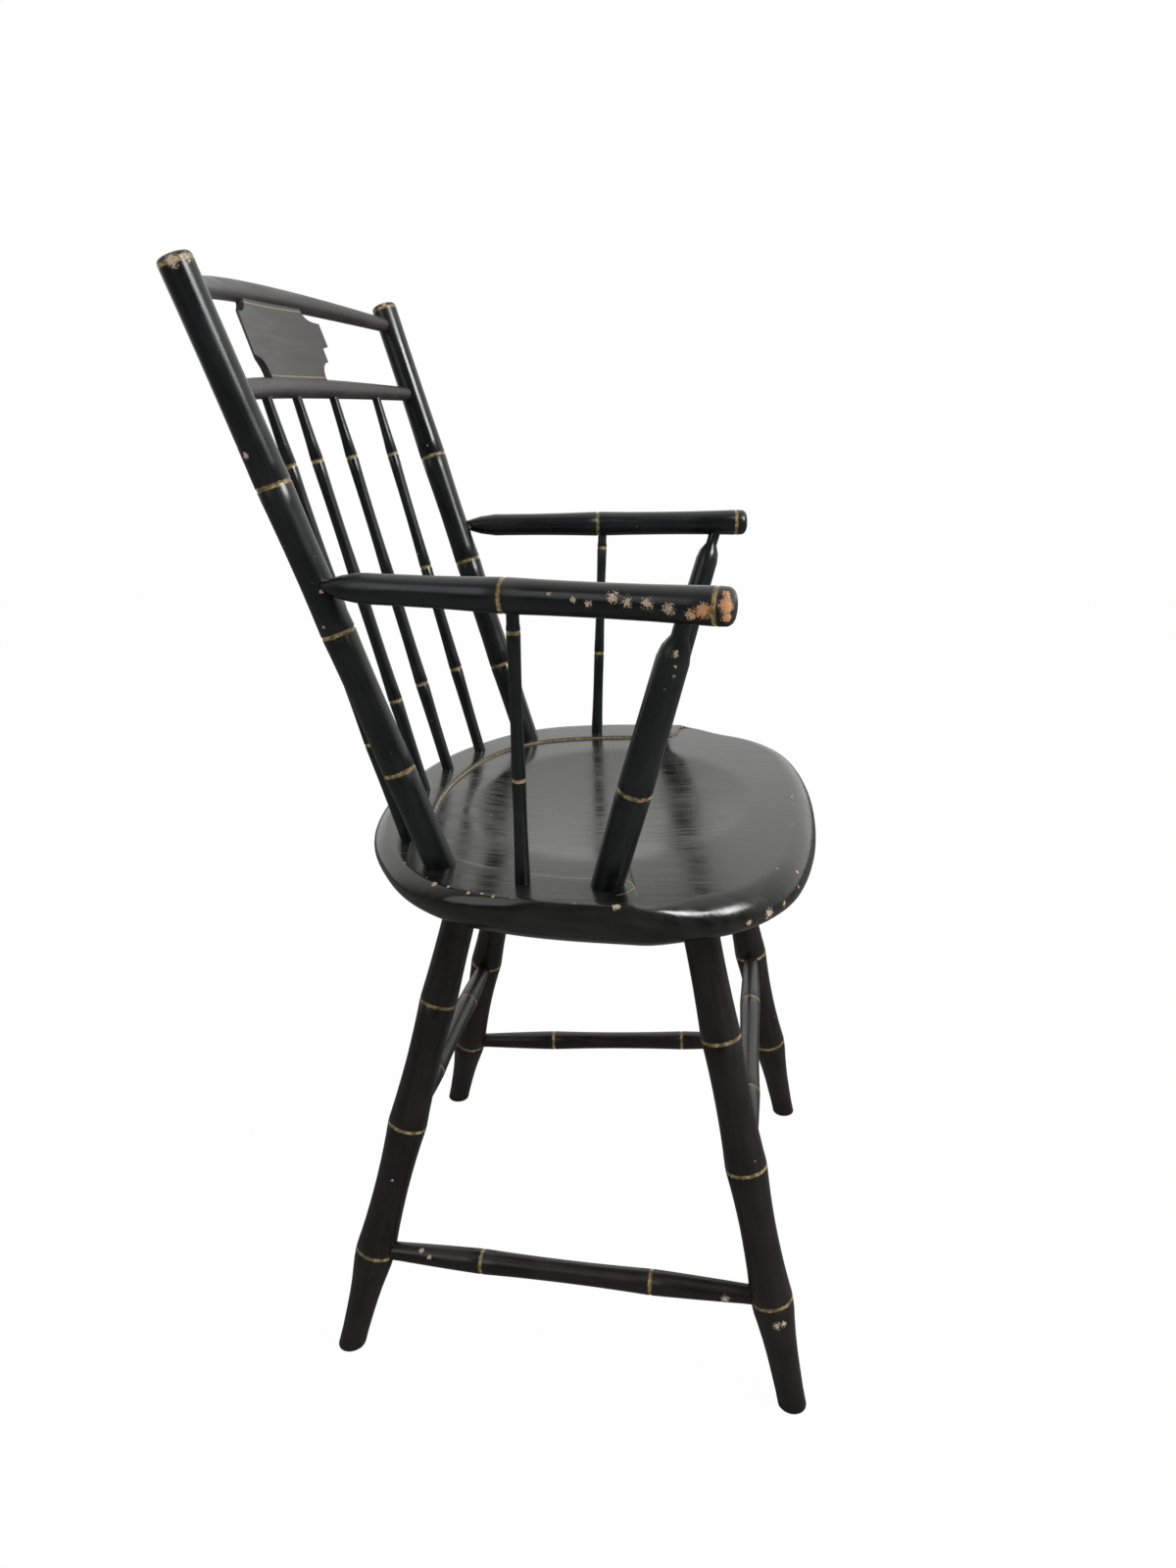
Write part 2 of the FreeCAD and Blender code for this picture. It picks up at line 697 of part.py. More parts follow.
def arm_body(side, grow=0.0):
    back, direction = arm_line(side)
    profile = [(-arm_tip_run - grow, arm_tip_r + grow), (2 * pin_from_tip, arm_tip_r + grow)]
    profile += [(arm_shoulder, arm_back_r + grow, arm_swell_r + grow)]
    if grow:
        profile += [(arm_shoulder + 20, arm_back_r + grow)]
        return turned(back, direction, profile)
    profile += ringed(arm_ring, arm_node_r, arm_back_r + 0.2, 0.0, node_land)
    front_land = arm_front_ring - arm_post_at + node_land
    front_run = arm_front_ring_in - groove_half
    profile += ringed(arm_front_ring, arm_front_r, arm_back_r + 0.8, front_land, front_run)
    profile += [(arm_length + 2.2, arm_front_r - 1.8), (arm_length + 4.0, arm_front_r - 5.0)]
    return turned(back, direction, profile)


def pin_line(side):
    back, direction = arm_line(side)
    through = back + direction * pin_from_tip - Vector(0, 0, pin_drop)
    above_seat = through.z - seat_height
    axis = post_point(side, above_seat)
    return through, unit(axis - through), (axis - through).Length


def pin_body(side, grow=0.0):
    through, inward, to_axis = pin_line(side)
    start = -arm_tip_r - 1.2 - pin_proud
    end = to_axis + pin_past_axis + (end_gap if grow else 0.0)
    if grow:
        start -= 10.0
    return rod(through, inward, start, end, pin_r + grow)


def support_socket(side, foot_x, foot_y, along, radius):
    foot, top = arm_support_line(side, foot_x, foot_y, along)
    return rod(top, unit(foot - top), -2.5 - end_gap, 30, radius + glue_gap)


def arm(side):
    body = arm_body(side)
    body = body.cut(pin_body(side, glue_gap))
    body = body.cut(support_socket(side, arm_post_x, arm_post_y, arm_post_at, arm_post_neck_r))
    return body.cut(support_socket(side, arm_spindle_x, arm_spindle_y, arm_spindle_at,
                                   arm_spindle_waist_r))


def arm_post(side):
    foot, top = arm_support_line(side, arm_post_x, arm_post_y, arm_post_at)
    length = (top - foot).Length
    neck = length - arm_post_neck
    profile = [(-arm_post_tenon, arm_post_foot_r), (7.0, arm_post_foot_r)]
    profile += ringed(arm_post_ring, arm_post_node_r, arm_post_foot_r + 0.3)
    profile += [(neck - 12.0, arm_post_shoulder_r, arm_post_shoulder_r + 0.6)]
    profile += [(neck, arm_post_neck_r, arm_post_shoulder_r - 2.0), (length + 2.5, arm_post_neck_r)]
    return turned(foot, unit(top - foot), profile)


def arm_spindle(side):
    foot, top = arm_support_line(side, arm_spindle_x, arm_spindle_y, arm_spindle_at)
    length = (top - foot).Length
    first, second = arm_spindle_rings
    profile = [(-arm_spindle_tenon, arm_spindle_foot_r), (6.0, arm_spindle_foot_r)]
    profile += swelled(first, arm_spindle_node_r, arm_spindle_node_r - 0.1)
    profile += swelled(second, arm_spindle_node_r - 0.2, arm_spindle_waist_r)
    profile += [(second + 6.0, arm_spindle_waist_r), (length + 2.5, arm_spindle_waist_r)]
    return turned(foot, unit(top - foot), profile)


# Every piece under its own name

def all_pieces():
    pieces = {"seat": seat()}
    for name, side in (("left", 1), ("right", -1)):
        pieces["leg_front_" + name] = leg(side, True)
        pieces["leg_rear_" + name] = leg(side, False)
        pieces["stretcher_" + name] = stretcher(*side_stretcher_line(side))
        pieces["back_post_" + name] = back_post(side)
        pieces["arm_" + name] = arm(side)
        pieces["arm_pin_" + name] = pin_body(side)
        pieces["arm_post_" + name] = arm_post(side)
        pieces["arm_spindle_" + name] = arm_spindle(side)
    pieces["stretcher_front"] = stretcher(*cross_stretcher_line(True))
    pieces["stretcher_rear"] = stretcher(*cross_stretcher_line(False))
    for index in range(spindle_count):
        pieces["back_spindle_%d" % (index + 1)] = back_spindle(index)
    pieces["lower_rail"] = lower_rail()
    pieces["crest_rail"] = crest_rail()
    pieces["crest_medallion"] = crest_medallion()
    return pieces


def centred(pieces):
    """Shift everything so that the origin is on the floor under the middle of the overall box."""
    box = Part.makeCompound(list(pieces.values())).optimalBoundingBox()
    for piece in pieces.values():
        piece.translate(Vector(0, -(box.YMin + box.YMax) / 2, 0))
    print("overall", round(box.XLength, 1), round(box.YLength, 1), round(box.ZLength, 1),
          "shifted", round(-(box.YMin + box.YMax) / 2, 2))
    return pieces


os.makedirs("parts", exist_ok=True)
for piece_name, piece in centred(all_pieces()).items():
    piece.exportStep("parts/%s.step" % piece_name)
    print(piece_name, piece.isValid(), len(piece.Solids), round(piece.Volume / 1000, 1))
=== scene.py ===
import bmesh
import bpy
import math
import random
from mathutils import Matrix, Vector


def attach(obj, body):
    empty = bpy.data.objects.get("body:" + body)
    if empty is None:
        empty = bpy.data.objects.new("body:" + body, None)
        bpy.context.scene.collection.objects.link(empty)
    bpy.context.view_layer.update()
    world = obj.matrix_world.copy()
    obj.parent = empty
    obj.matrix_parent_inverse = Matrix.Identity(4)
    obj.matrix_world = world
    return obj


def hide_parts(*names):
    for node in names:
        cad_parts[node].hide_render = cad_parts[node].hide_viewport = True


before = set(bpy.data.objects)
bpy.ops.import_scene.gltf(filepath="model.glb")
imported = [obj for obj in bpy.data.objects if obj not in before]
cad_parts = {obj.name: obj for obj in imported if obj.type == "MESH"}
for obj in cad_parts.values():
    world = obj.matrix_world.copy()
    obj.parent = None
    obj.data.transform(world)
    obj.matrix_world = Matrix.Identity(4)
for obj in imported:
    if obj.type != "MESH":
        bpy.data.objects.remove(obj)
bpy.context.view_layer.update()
random.seed(11)

# Metres. Left is +X, the front is -Y, the floor is at 0.
chair = {
    "seatTop": 0.4505,
    "middleY": -0.02778,        # the seat's own middle
    "postFoot": (0.1646, 0.05722),
    "postLean": (0.0922, 0.3136),
    "armHeight": 0.211,
    "lowerRail": 0.3345,        # above the seat, at the posts
    "crestRail": 0.396,
}
bothSides = (("left", 1), ("right", -1))


# Camera and studio

cameraShape = {
    "place": (-0.9073, -0.1713, 0.7750),
    "yaw": 8.8194,
    "pitch": 18.9541,
    "roll": -1.3543,
    "focal": 1136.43,           # in pixels of a picture 1600 high
    "pictureHigh": 1600,
    "sensor": 36.0,
}

studio = {
    "worldDark": 0.10,          # what the paint reflects from behind the camera
    "worldBright": 1.05,        # and from behind the chair
    "worldTurn": (-0.35, 0.75),
    "worldLift": 0.35,
    "backdropTint": (0.99, 1.0, 0.955, 1.0),
    "floorColour": (0.86, 0.86, 0.86, 1.0),
    "floorMirrored": (0.16, 0.16, 0.155, 1.0),    # the floor as the paint reflects it
    "floorWhite": 0.975,        # how far the floor is lifted to white for the camera
    "floorSize": 9.0,
    "lamps": [("window", (-0.9, -2.1, 2.3), 1.0, 74.0),     # name, place, size, power
              ("fill", (-1.9, 1.6, 1.9), 1.6, 12.0)],
    "aim": (0.0, 0.0, 0.45),
}


def placeCamera():
    yaw = math.radians(cameraShape["yaw"])
    pitch = math.radians(cameraShape["pitch"])
    roll = math.radians(cameraShape["roll"])
    forward = Vector((math.cos(yaw) * math.cos(pitch), math.sin(yaw) * math.cos(pitch), -math.sin(pitch)))
    level = Vector((math.sin(yaw), -math.cos(yaw), 0.0))
    up = level.cross(forward)
    right = level * math.cos(roll) + up * math.sin(roll)
    top = up * math.cos(roll) - level * math.sin(roll)
    data = bpy.data.cameras.new("photo_camera")
    data.sensor_width = cameraShape["sensor"]
    data.lens = cameraShape["focal"] * cameraShape["sensor"] / cameraShape["pictureHigh"]
    data.clip_end = 60.0
    camera = bpy.data.objects.new("photo_camera", data)
    bpy.context.scene.collection.objects.link(camera)
    turn = Matrix((right, top, -forward)).transposed().to_4x4()
    camera.matrix_world = Matrix.Translation(cameraShape["place"]) @ turn
    bpy.context.scene.camera = camera


def addNode(tree, kind, **settings):
    node = tree.nodes.new(kind)
    for key, value in settings.items():
        setattr(node, key, value)
    return node


def plug(tree, socket, value):    # the value is a number, a colour or another node's output
    if isinstance(value, bpy.types.NodeSocket):
        tree.links.new(value, socket)
    else:
        socket.default_value = value


def mathOf(tree, operation, first, second=0.0, clamp=False):
    node = addNode(tree, "ShaderNodeMath", operation=operation, use_clamp=clamp)
    for socket, value in zip(node.inputs, (first, second)):
        plug(tree, socket, value)
    return node.outputs[0]


def vectorOf(tree, operation, first, second=(0.0, 0.0, 0.0)):
    node = addNode(tree, "ShaderNodeVectorMath", operation=operation)
    plug(tree, node.inputs[0], first)
    plug(tree, node.inputs[1], second)
    return node


def rampOf(tree, value, low, high, outLow=0.0, outHigh=1.0, smooth=True):
    node = addNode(tree, "ShaderNodeMapRange")
    node.interpolation_type = "SMOOTHSTEP" if smooth else "LINEAR"
    names = ("Value", "From Min", "From Max", "To Min", "To Max")
    for name, given in zip(names, (value, low, high, outLow, outHigh)):
        plug(tree, node.inputs[name], given)
    return node.outputs["Result"]


def mixOf(tree, share, first, second):
    node = addNode(tree, "ShaderNodeMix", data_type="RGBA")
    plug(tree, node.inputs[0], share)
    plug(tree, node.inputs[6], first)
    plug(tree, node.inputs[7], second)
    return node.outputs[2]


def noiseOf(tree, place, scale, detail=3.0, rough=0.55):
    node = addNode(tree, "ShaderNodeTexNoise")
    plug(tree, node.inputs["Vector"], place)
    plug(tree, node.inputs["Scale"], scale)
    plug(tree, node.inputs["Detail"], detail)
    plug(tree, node.inputs["Roughness"], rough)
    return node.outputs["Fac"]


def stretched(tree, place, amounts):
    return vectorOf(tree, "MULTIPLY", place, amounts).outputs[0]


def newMaterial(name):
    material = bpy.data.materials.new(name)
    material.use_nodes = True
    material.node_tree.nodes.clear()
    return material, material.node_tree


def shownRays(tree):              # rays that show the background to the camera
    path = addNode(tree, "ShaderNodeLightPath")
    shown = mathOf(tree, "MAXIMUM", path.outputs["Is Camera Ray"], path.outputs["Is Transmission Ray"])
    return path, shown


def buildStudio():
    world = bpy.data.worlds.new("studio_world")
    bpy.context.scene.world = world
    world.use_nodes = True
    tree = world.node_tree
    tree.nodes.clear()
    path, shown = shownRays(tree)
    toward = addNode(tree, "ShaderNodeSeparateXYZ")
    tree.links.new(addNode(tree, "ShaderNodeTexCoord").outputs["Generated"], toward.inputs[0])
    lift = mathOf(tree, "MULTIPLY", toward.outputs["Z"], studio["worldLift"])
    side = mathOf(tree, "ADD", toward.outputs["X"], lift)
    around = rampOf(tree, side, *studio["worldTurn"], studio["worldDark"], studio["worldBright"])
    strength = rampOf(tree, shown, 0.0, 1.0, around, 1.0, smooth=False)
    light = addNode(tree, "ShaderNodeBackground")
    plug(tree, light.inputs["Strength"], strength)
    plug(tree, light.inputs["Color"], mixOf(tree, shown, studio["backdropTint"], (1.0, 1.0, 1.0, 1.0)))
    out = addNode(tree, "ShaderNodeOutputWorld")
    tree.links.new(light.outputs[0], out.inputs["Surface"])

    bpy.ops.mesh.primitive_plane_add(size=studio["floorSize"])
    floor = bpy.context.object
    floor.name = "floor"
    material, tree = newMaterial("floor_white")
    matt = addNode(tree, "ShaderNodeBsdfDiffuse")
    white = addNode(tree, "ShaderNodeEmission")
    white.inputs["Color"].default_value = (1.0, 1.0, 1.0, 1.0)
    path, shown = shownRays(tree)
    pale = mixOf(tree, path.outputs["Is Glossy Ray"], studio["floorColour"], studio["floorMirrored"])
    plug(tree, matt.inputs["Color"], pale)
    share = mathOf(tree, "MULTIPLY", shown, studio["floorWhite"])
    mix = addNode(tree, "ShaderNodeMixShader")
    plug(tree, mix.inputs[0], share)
    tree.links.new(matt.outputs[0], mix.inputs[1])
    tree.links.new(white.outputs[0], mix.inputs[2])
    out = addNode(tree, "ShaderNodeOutputMaterial")
    tree.links.new(mix.outputs[0], out.inputs["Surface"])
    floor.data.materials.append(material)

    for name, place, size, power in studio["lamps"]:
        data = bpy.data.lights.new(name, "AREA")
        data.shape = "SQUARE"
        data.size = size
        data.energy = power
        lamp = bpy.data.objects.new(name, data)
        bpy.context.scene.collection.objects.link(lamp)
        aim = Vector(studio["aim"]) - Vector(place)
        lamp.matrix_world = Matrix.Translation(place) @ aim.to_track_quat("-Z", "Y").to_matrix().to_4x4()


# Shader groups

def newGroup(name, inputs, outputs):
    tree = bpy.data.node_groups.new(name, "ShaderNodeTree")
    kinds = {"F": "NodeSocketFloat", "V": "NodeSocketVector", "C": "NodeSocketColor"}
    for label, kind in inputs:
        tree.interface.new_socket(name=label, in_out="INPUT", socket_type=kinds[kind])
    for label, kind in outputs:
        tree.interface.new_socket(name=label, in_out="OUTPUT", socket_type=kinds[kind])
    enter = addNode(tree, "NodeGroupInput")
    leave = addNode(tree, "NodeGroupOutput")
    return tree, enter.outputs, leave.inputs


def useGroup(tree, name, **values):
    node = addNode(tree, "ShaderNodeGroup")
    node.node_tree = bpy.data.node_groups[name]
    for key, value in values.items():
        plug(tree, node.inputs[key], value)
    return node.outputs


grain = {
    "cloud": 22.0, "cloudShare": 0.6, "cloudRough": (-0.03, 0.05),
    "streakShare": 0.5, "streakRough": (-0.05, 0.09), "streakHeight": 0.7,
    "pore": 900.0, "poreHeight": 0.07, "light": (0.38, 0.72),
}


def groupPaintFilm():             # old brushed paint: mottled colour, streaks one way, soft sheen
    tree, given, out = newGroup("paintFilm",
        [("Place", "V"), ("Streak", "V"), ("Dark", "C"), ("Light", "C"), ("Gloss", "F")],
        [("Colour", "C"), ("Rough", "F"), ("Height", "F")])
    cloud = noiseOf(tree, given["Place"], grain["cloud"], 4.0)
    streak = noiseOf(tree, given["Streak"], 1.0, 4.0, 0.62)
    pore = noiseOf(tree, given["Place"], grain["pore"], 2.0)
    clouded = mathOf(tree, "MULTIPLY", cloud, grain["cloudShare"])
    streaked = mathOf(tree, "MULTIPLY", streak, grain["streakShare"])
    share = rampOf(tree, mathOf(tree, "ADD", clouded, streaked), *grain["light"])
    tree.links.new(mixOf(tree, share, given["Dark"], given["Light"]), out["Colour"])
    roughStreak = rampOf(tree, streak, 0.3, 0.7, *grain["streakRough"])
    roughCloud = rampOf(tree, cloud, 0.3, 0.7, *grain["cloudRough"])
    uneven = mathOf(tree, "ADD", roughStreak, roughCloud)
    tree.links.new(mathOf(tree, "ADD", given["Gloss"], uneven, clamp=True), out["Rough"])
    ridges = mathOf(tree, "MULTIPLY", streak, grain["streakHeight"])
    pores = mathOf(tree, "MULTIPLY", pore, grain["poreHeight"])
    tree.links.new(mathOf(tree, "ADD", ridges, pores), out["Height"])


giltEdge = {
    "ragged": 1.2, "raggedScale": 420.0, "inner": 0.78, "outer": 1.3, "paintedShadeOuter": 2.1,
    "rubScale": 130.0, "rubbed": (0.62, 0.76), "brightScale": 260.0, "bright": (0.4, 0.66),
}


# Around each gilt line a wider brown fringe is painted shade, where the groove walls fall into shade.
def groupGiltLine():              # a painted gilt line, uneven at its edges and rubbed away in places
    tree, given, out = newGroup("giltLine",
        [("Gap", "F"), ("Place", "V"), ("Half", "F"), ("Worn", "F")],
        [("Gilt", "F"), ("Halo", "F"), ("Bright", "F")])
    edge = giltEdge
    uneven = mathOf(tree, "SUBTRACT", noiseOf(tree, given["Place"], edge["raggedScale"]), 0.5)
    ragged = mathOf(tree, "MULTIPLY", uneven, mathOf(tree, "MULTIPLY", given["Half"], edge["ragged"]))
    gap = mathOf(tree, "ADD", given["Gap"], ragged)
    inner, outer, wide = [mathOf(tree, "MULTIPLY", given["Half"], edge[key])
                          for key in ("inner", "outer", "paintedShadeOuter")]
    line = rampOf(tree, gap, inner, outer, 1.0, 0.0)
    wear = mathOf(tree, "ADD", noiseOf(tree, given["Place"], edge["rubScale"], 5.0), given["Worn"])
    rubbed = rampOf(tree, wear, *edge["rubbed"], 1.0, 0.0)
    tree.links.new(mathOf(tree, "MULTIPLY", line, rubbed), out["Gilt"])
    # the wider band for the brown painted shade along the line
    tree.links.new(rampOf(tree, gap, inner, wide, 1.0, 0.0), out["Halo"])
    bright = noiseOf(tree, given["Place"], edge["brightScale"], 3.0)
    tree.links.new(rampOf(tree, bright, *edge["bright"]), out["Bright"])


chipEdge = {"raggedScale": 760.0, "edge": (0.86, 1.0)}


def groupChipAt():                # one chip in the paint, with a ragged outline
    tree, given, out = newGroup("chipAt",
        [("Place", "V"), ("Centre", "V"), ("Radius", "F"), ("Ragged", "F")], [("Chip", "F")])
    away = vectorOf(tree, "DISTANCE", given["Place"], given["Centre"]).outputs["Value"]
    share = mathOf(tree, "DIVIDE", away, given["Radius"])
    noise = noiseOf(tree, given["Place"], chipEdge["raggedScale"], 4.0, 0.7)
    ragged = mathOf(tree, "MULTIPLY", mathOf(tree, "SUBTRACT", noise, 0.5), given["Ragged"])
    chip = rampOf(tree, mathOf(tree, "ADD", share, ragged), *chipEdge["edge"], 1.0, 0.0)
    tree.links.new(chip, out["Chip"])


scatter = {"wobbleScale": 480.0, "wobble": 0.0028, "smallest": 0.35}


def groupScatter():               # small random chips: a few cells of a cell pattern hold one each
    tree, given, out = newGroup("scatteredChips",
        [("Place", "V"), ("Scale", "F"), ("Size", "F"), ("Share", "F")], [("Chip", "F")])
    wobble = addNode(tree, "ShaderNodeTexNoise")
    plug(tree, wobble.inputs["Vector"], given["Place"])
    wobble.inputs["Scale"].default_value = scatter["wobbleScale"]
    centred = vectorOf(tree, "SUBTRACT", wobble.outputs["Color"], (0.5, 0.5, 0.5)).outputs[0]
    small = vectorOf(tree, "SCALE", centred)
    small.inputs["Scale"].default_value = scatter["wobble"]
    bent = vectorOf(tree, "ADD", given["Place"], small.outputs[0]).outputs[0]
    cells = addNode(tree, "ShaderNodeTexVoronoi")
    tree.links.new(bent, cells.inputs["Vector"])
    plug(tree, cells.inputs["Scale"], given["Scale"])
    split = addNode(tree, "ShaderNodeSeparateColor")
    tree.links.new(cells.outputs["Color"], split.inputs[0])
    present = mathOf(tree, "LESS_THAN", split.outputs[0], given["Share"])
    share = rampOf(tree, split.outputs[1], 0.0, 1.0, scatter["smallest"], 1.0, smooth=False)
    reach = mathOf(tree, "MULTIPLY", given["Size"], share)
    spot = mathOf(tree, "LESS_THAN", cells.outputs["Distance"], reach)
    tree.links.new(mathOf(tree, "MULTIPLY", present, spot), out["Chip"])


bareLook = {
    "cream": ((0.24, 0.17, 0.11, 1.0), (0.62, 0.52, 0.40, 1.0)), "creamScale": 300.0,
    "wood": ((0.34, 0.13, 0.04, 1.0), (0.62, 0.31, 0.13, 1.0)), "woodScale": 700.0,
    "woodGrain": (1.0, 0.2, 1.0), "rough": 0.75, "depth": 0.6,
}


def groupBareWood():              # in a chip: cream ground coat, orange wood where it is worn through
    tree, given, out = newGroup("bareWood", [("Place", "V"), ("Through", "F")], [("Colour", "C")])
    cream = mixOf(tree, noiseOf(tree, given["Place"], bareLook["creamScale"]), *bareLook["cream"])
    fibres = stretched(tree, given["Place"], bareLook["woodGrain"])
    wood = mixOf(tree, noiseOf(tree, fibres, bareLook["woodScale"], 4.0), *bareLook["wood"])
    tree.links.new(mixOf(tree, given["Through"], cream, wood), out["Colour"])


def buildGroups():
    groupPaintFilm()
    groupGiltLine()
    groupChipAt()
    groupScatter()
    groupBareWood()


def finishSurface(tree, colour, rough, height, reach):
    bump = addNode(tree, "ShaderNodeBump")
    bump.inputs["Distance"].default_value = reach
    bump.inputs["Strength"].default_value = 1.0
    tree.links.new(height, bump.inputs["Height"])
    skin = addNode(tree, "ShaderNodeBsdfPrincipled")
    plug(tree, skin.inputs["Base Color"], colour)
    plug(tree, skin.inputs["Roughness"], rough)
    tree.links.new(bump.outputs[0], skin.inputs["Normal"])
    out = addNode(tree, "ShaderNodeOutputMaterial")
    tree.links.new(skin.outputs[0], out.inputs["Surface"])


def finishWorn(tree, world, film, colour, chip, through, reach):    # the paint with its bare places
    bare = useGroup(tree, "bareWood", Place=world, Through=through)["Colour"]
    rough = mathOf(tree, "MAXIMUM", film["Rough"], mathOf(tree, "MULTIPLY", chip, bareLook["rough"]))
    height = mathOf(tree, "SUBTRACT", film["Height"], mathOf(tree, "MULTIPLY", chip, bareLook["depth"]))
    finishSurface(tree, mixOf(tree, chip, colour, bare), rough, height, reach)


def filmOf(tree, look, place, along, streaks):
    return useGroup(tree, "paintFilm", Place=place, Streak=stretched(tree, along, streaks),
                    Dark=look["dark"], Light=look["light"], Gloss=look["gloss"])


def attributeOf(tree, name, output="Fac"):
    return addNode(tree, "ShaderNodeAttribute", attribute_name=name).outputs[output]


def objectPlace(tree):
    return addNode(tree, "ShaderNodeTexCoord").outputs["Object"]


def addMarks(tree, world, chip, places):
    for x, y, z, radius, ragged in places:
        centre = (x / 1000, y / 1000, z / 1000)
        mark = useGroup(tree, "chipAt", Place=world, Centre=centre, Radius=radius / 1000,
                        Ragged=ragged)["Chip"]
        chip = mathOf(tree, "MAXIMUM", chip, mark)
    return chip


gilt = {
    "dull": (0.105, 0.076, 0.030, 1.0), "bright": (0.36, 0.265, 0.125, 1.0),
    # the third colour is the brown painted shade at the edges of the gilt lines
    "paintedShade": (0.024, 0.017, 0.010, 1.0),
}


def addGilt(tree, line, colour, paintedShadeShare, brightShare):
    bright = mathOf(tree, "MULTIPLY", line["Bright"], brightShare)
    # painted shade: a brown fringe along the gilt line, under the gilt itself
    paintedShade = mathOf(tree, "MULTIPLY", line["Halo"], paintedShadeShare)
    colour = mixOf(tree, paintedShade, colour, gilt["paintedShade"])
    return mixOf(tree, line["Gilt"], colour, mixOf(tree, bright, gilt["dull"], gilt["bright"]))


rodFinish = {
    "frame_paint": {"dark": (0.0034, 0.0043, 0.0048, 1.0), "light": (0.0090, 0.0115, 0.0120, 1.0),
                    "gloss": 0.25, "chips": 0.06, "dust": 0.15, "half": 0.00135, "worn": -0.01},
    "leg_paint": {"dark": (0.0042, 0.0037, 0.0031, 1.0), "light": (0.0125, 0.0105, 0.0085, 1.0),
                  "gloss": 0.30, "chips": 0.05, "dust": 0.12, "half": 0.0013, "worn": 0.01},
}
rodGrain = {
    # the second number is the share of brown painted shade around the gilt rings
    "streaks": (190.0, 190.0, 14.0), "paintedShade": 0.75, "chipScale": 95.0, "chipSize": 0.075, "relief": 0.0002,
    "dustScale": 250.0, "dustSize": 0.10, "dustShare": 0.5, "dustColour": (0.34, 0.33, 0.30, 1.0),
    "woodReach": (0.012, 0.026), "woodShare": (0.9, 0.06),
}


barePlace = (-0.2510, -0.1490, 0.6590)    # wood shows through at the front of the right arm
# Marks seen in the photograph: place and radius in millimetres, and how far each breaks up into flecks
frameWear = [
    (-202.5, 155.2, 747.0, 2.2, 3.0), (-199.5, 161.8, 753.0, 1.6, 3.0), (-199.1, 152.1, 725.3, 1.0, 4.0),
    (-192.7, 118.7, 634.2, 1.2, 4.0), (-194.8, 116.7, 658.4, 1.8, 3.0), (188.9, 111.5, 659.8, 2.4, 4.0),
    (-250.0, -140.0, 656.2, 4.6, 3.5), (-247.9, -133.2, 653.5, 3.4, 4.0), (-251.3, -154.5, 660.0, 5.0, 2.6),
    (-250.0, -154.5, 653.0, 3.4, 2.6), (-249.0, -154.5, 668.0, 3.4, 2.6), (-231.4, -44.8, 663.4, 1.2, 5.0),
    (-234.8, -60.5, 660.4, 1.8, 5.0), (-236.4, -69.8, 658.3, 2.0, 5.5), (-238.6, -85.3, 662.9, 3.2, 6.0),
    (-240.5, -94.4, 660.0, 2.6, 6.0), (-243.7, -106.5, 659.7, 3.2, 6.0), (-244.6, -120.0, 657.0, 3.0, 6.0),
    (-238.3, -123.3, 628.2, 1.7, 6.0), (-237.6, -123.3, 620.0, 1.1, 6.0), (-237.0, -122.6, 613.8, 0.8, 6.0),
    (-213.5, 183.0, 860.9, 3.6, 5.0), (-206.5, 177.0, 863.0, 3.0, 5.0), (192.6, 183.8, 866.3, 2.4, 5.0),
]
legWear = [
    (-173.4, 95.0, 97.2, 2.2, 3.0), (-177.4, 87.2, 94.4, 1.8, 4.0), (-180.3, 42.1, 97.9, 1.0, 4.0),
    (-194.8, -161.6, 95.5, 3.0, 5.5), (-207.2, -202.6, 85.0, 3.0, 5.0), (-205.5, -207.9, 86.0, 2.4, 5.0),
    (-167.4, 117.5, 161.5, 1.2, 4.0),
]
seatWear = [
    (-199.0, 52.1, 449.7, 2.2, 3.0), (-211.8, 23.6, 449.9, 1.3, 3.0), (-216.2, 4.9, 449.7, 1.2, 3.0),
    (-224.2, -82.9, 450.1, 2.6, 3.0), (-192.1, -164.0, 420.5, 2.6, 6.5), (-198.1, -172.8, 429.2, 1.8, 6.5),
    (-184.0, -186.3, 430.6, 3.0, 6.5), (-168.7, -196.8, 431.6, 1.7, 6.5), (-144.7, -207.0, 434.3, 1.1, 5.0),
    (-133.5, -206.4, 441.2, 1.6, 3.0), (-143.3, -191.7, 447.2, 1.0, 3.0), (-5.8, -106.1, 444.1, 1.4, 3.0),
]


def rodMaterial(name, places):
    look = rodFinish[name]
    shared = rodGrain
    material, tree = newMaterial(name)
    world = objectPlace(tree)
    film = filmOf(tree, look, world, attributeOf(tree, "along", "Vector"), shared["streaks"])
    line = useGroup(tree, "giltLine", Gap=attributeOf(tree, "ringGap"), Place=world, Half=look["half"],
                    Worn=look["worn"])
    colour = addGilt(tree, line, film["Colour"], shared["paintedShade"], 1.0)
    dust = useGroup(tree, "scatteredChips", Place=world, Scale=shared["dustScale"], Size=shared["dustSize"],
                    Share=look["dust"])["Chip"]
    colour = mixOf(tree, mathOf(tree, "MULTIPLY", dust, shared["dustShare"]), colour, shared["dustColour"])
    chip = useGroup(tree, "scatteredChips", Place=world, Scale=shared["chipScale"], Size=shared["chipSize"],
                    Share=look["chips"])["Chip"]
    chip = addMarks(tree, world, chip, places)
    fromWood = vectorOf(tree, "DISTANCE", world, barePlace).outputs["Value"]
    through = rampOf(tree, fromWood, *shared["woodReach"], *shared["woodShare"])
    finishWorn(tree, world, film, colour, chip, through, shared["relief"])
    return material


# Turned rods

def selectNone():
    if bpy.context.object and bpy.context.object.mode != "OBJECT":
        bpy.ops.object.mode_set(mode="OBJECT")
    bpy.ops.object.select_all(action="DESELECT")


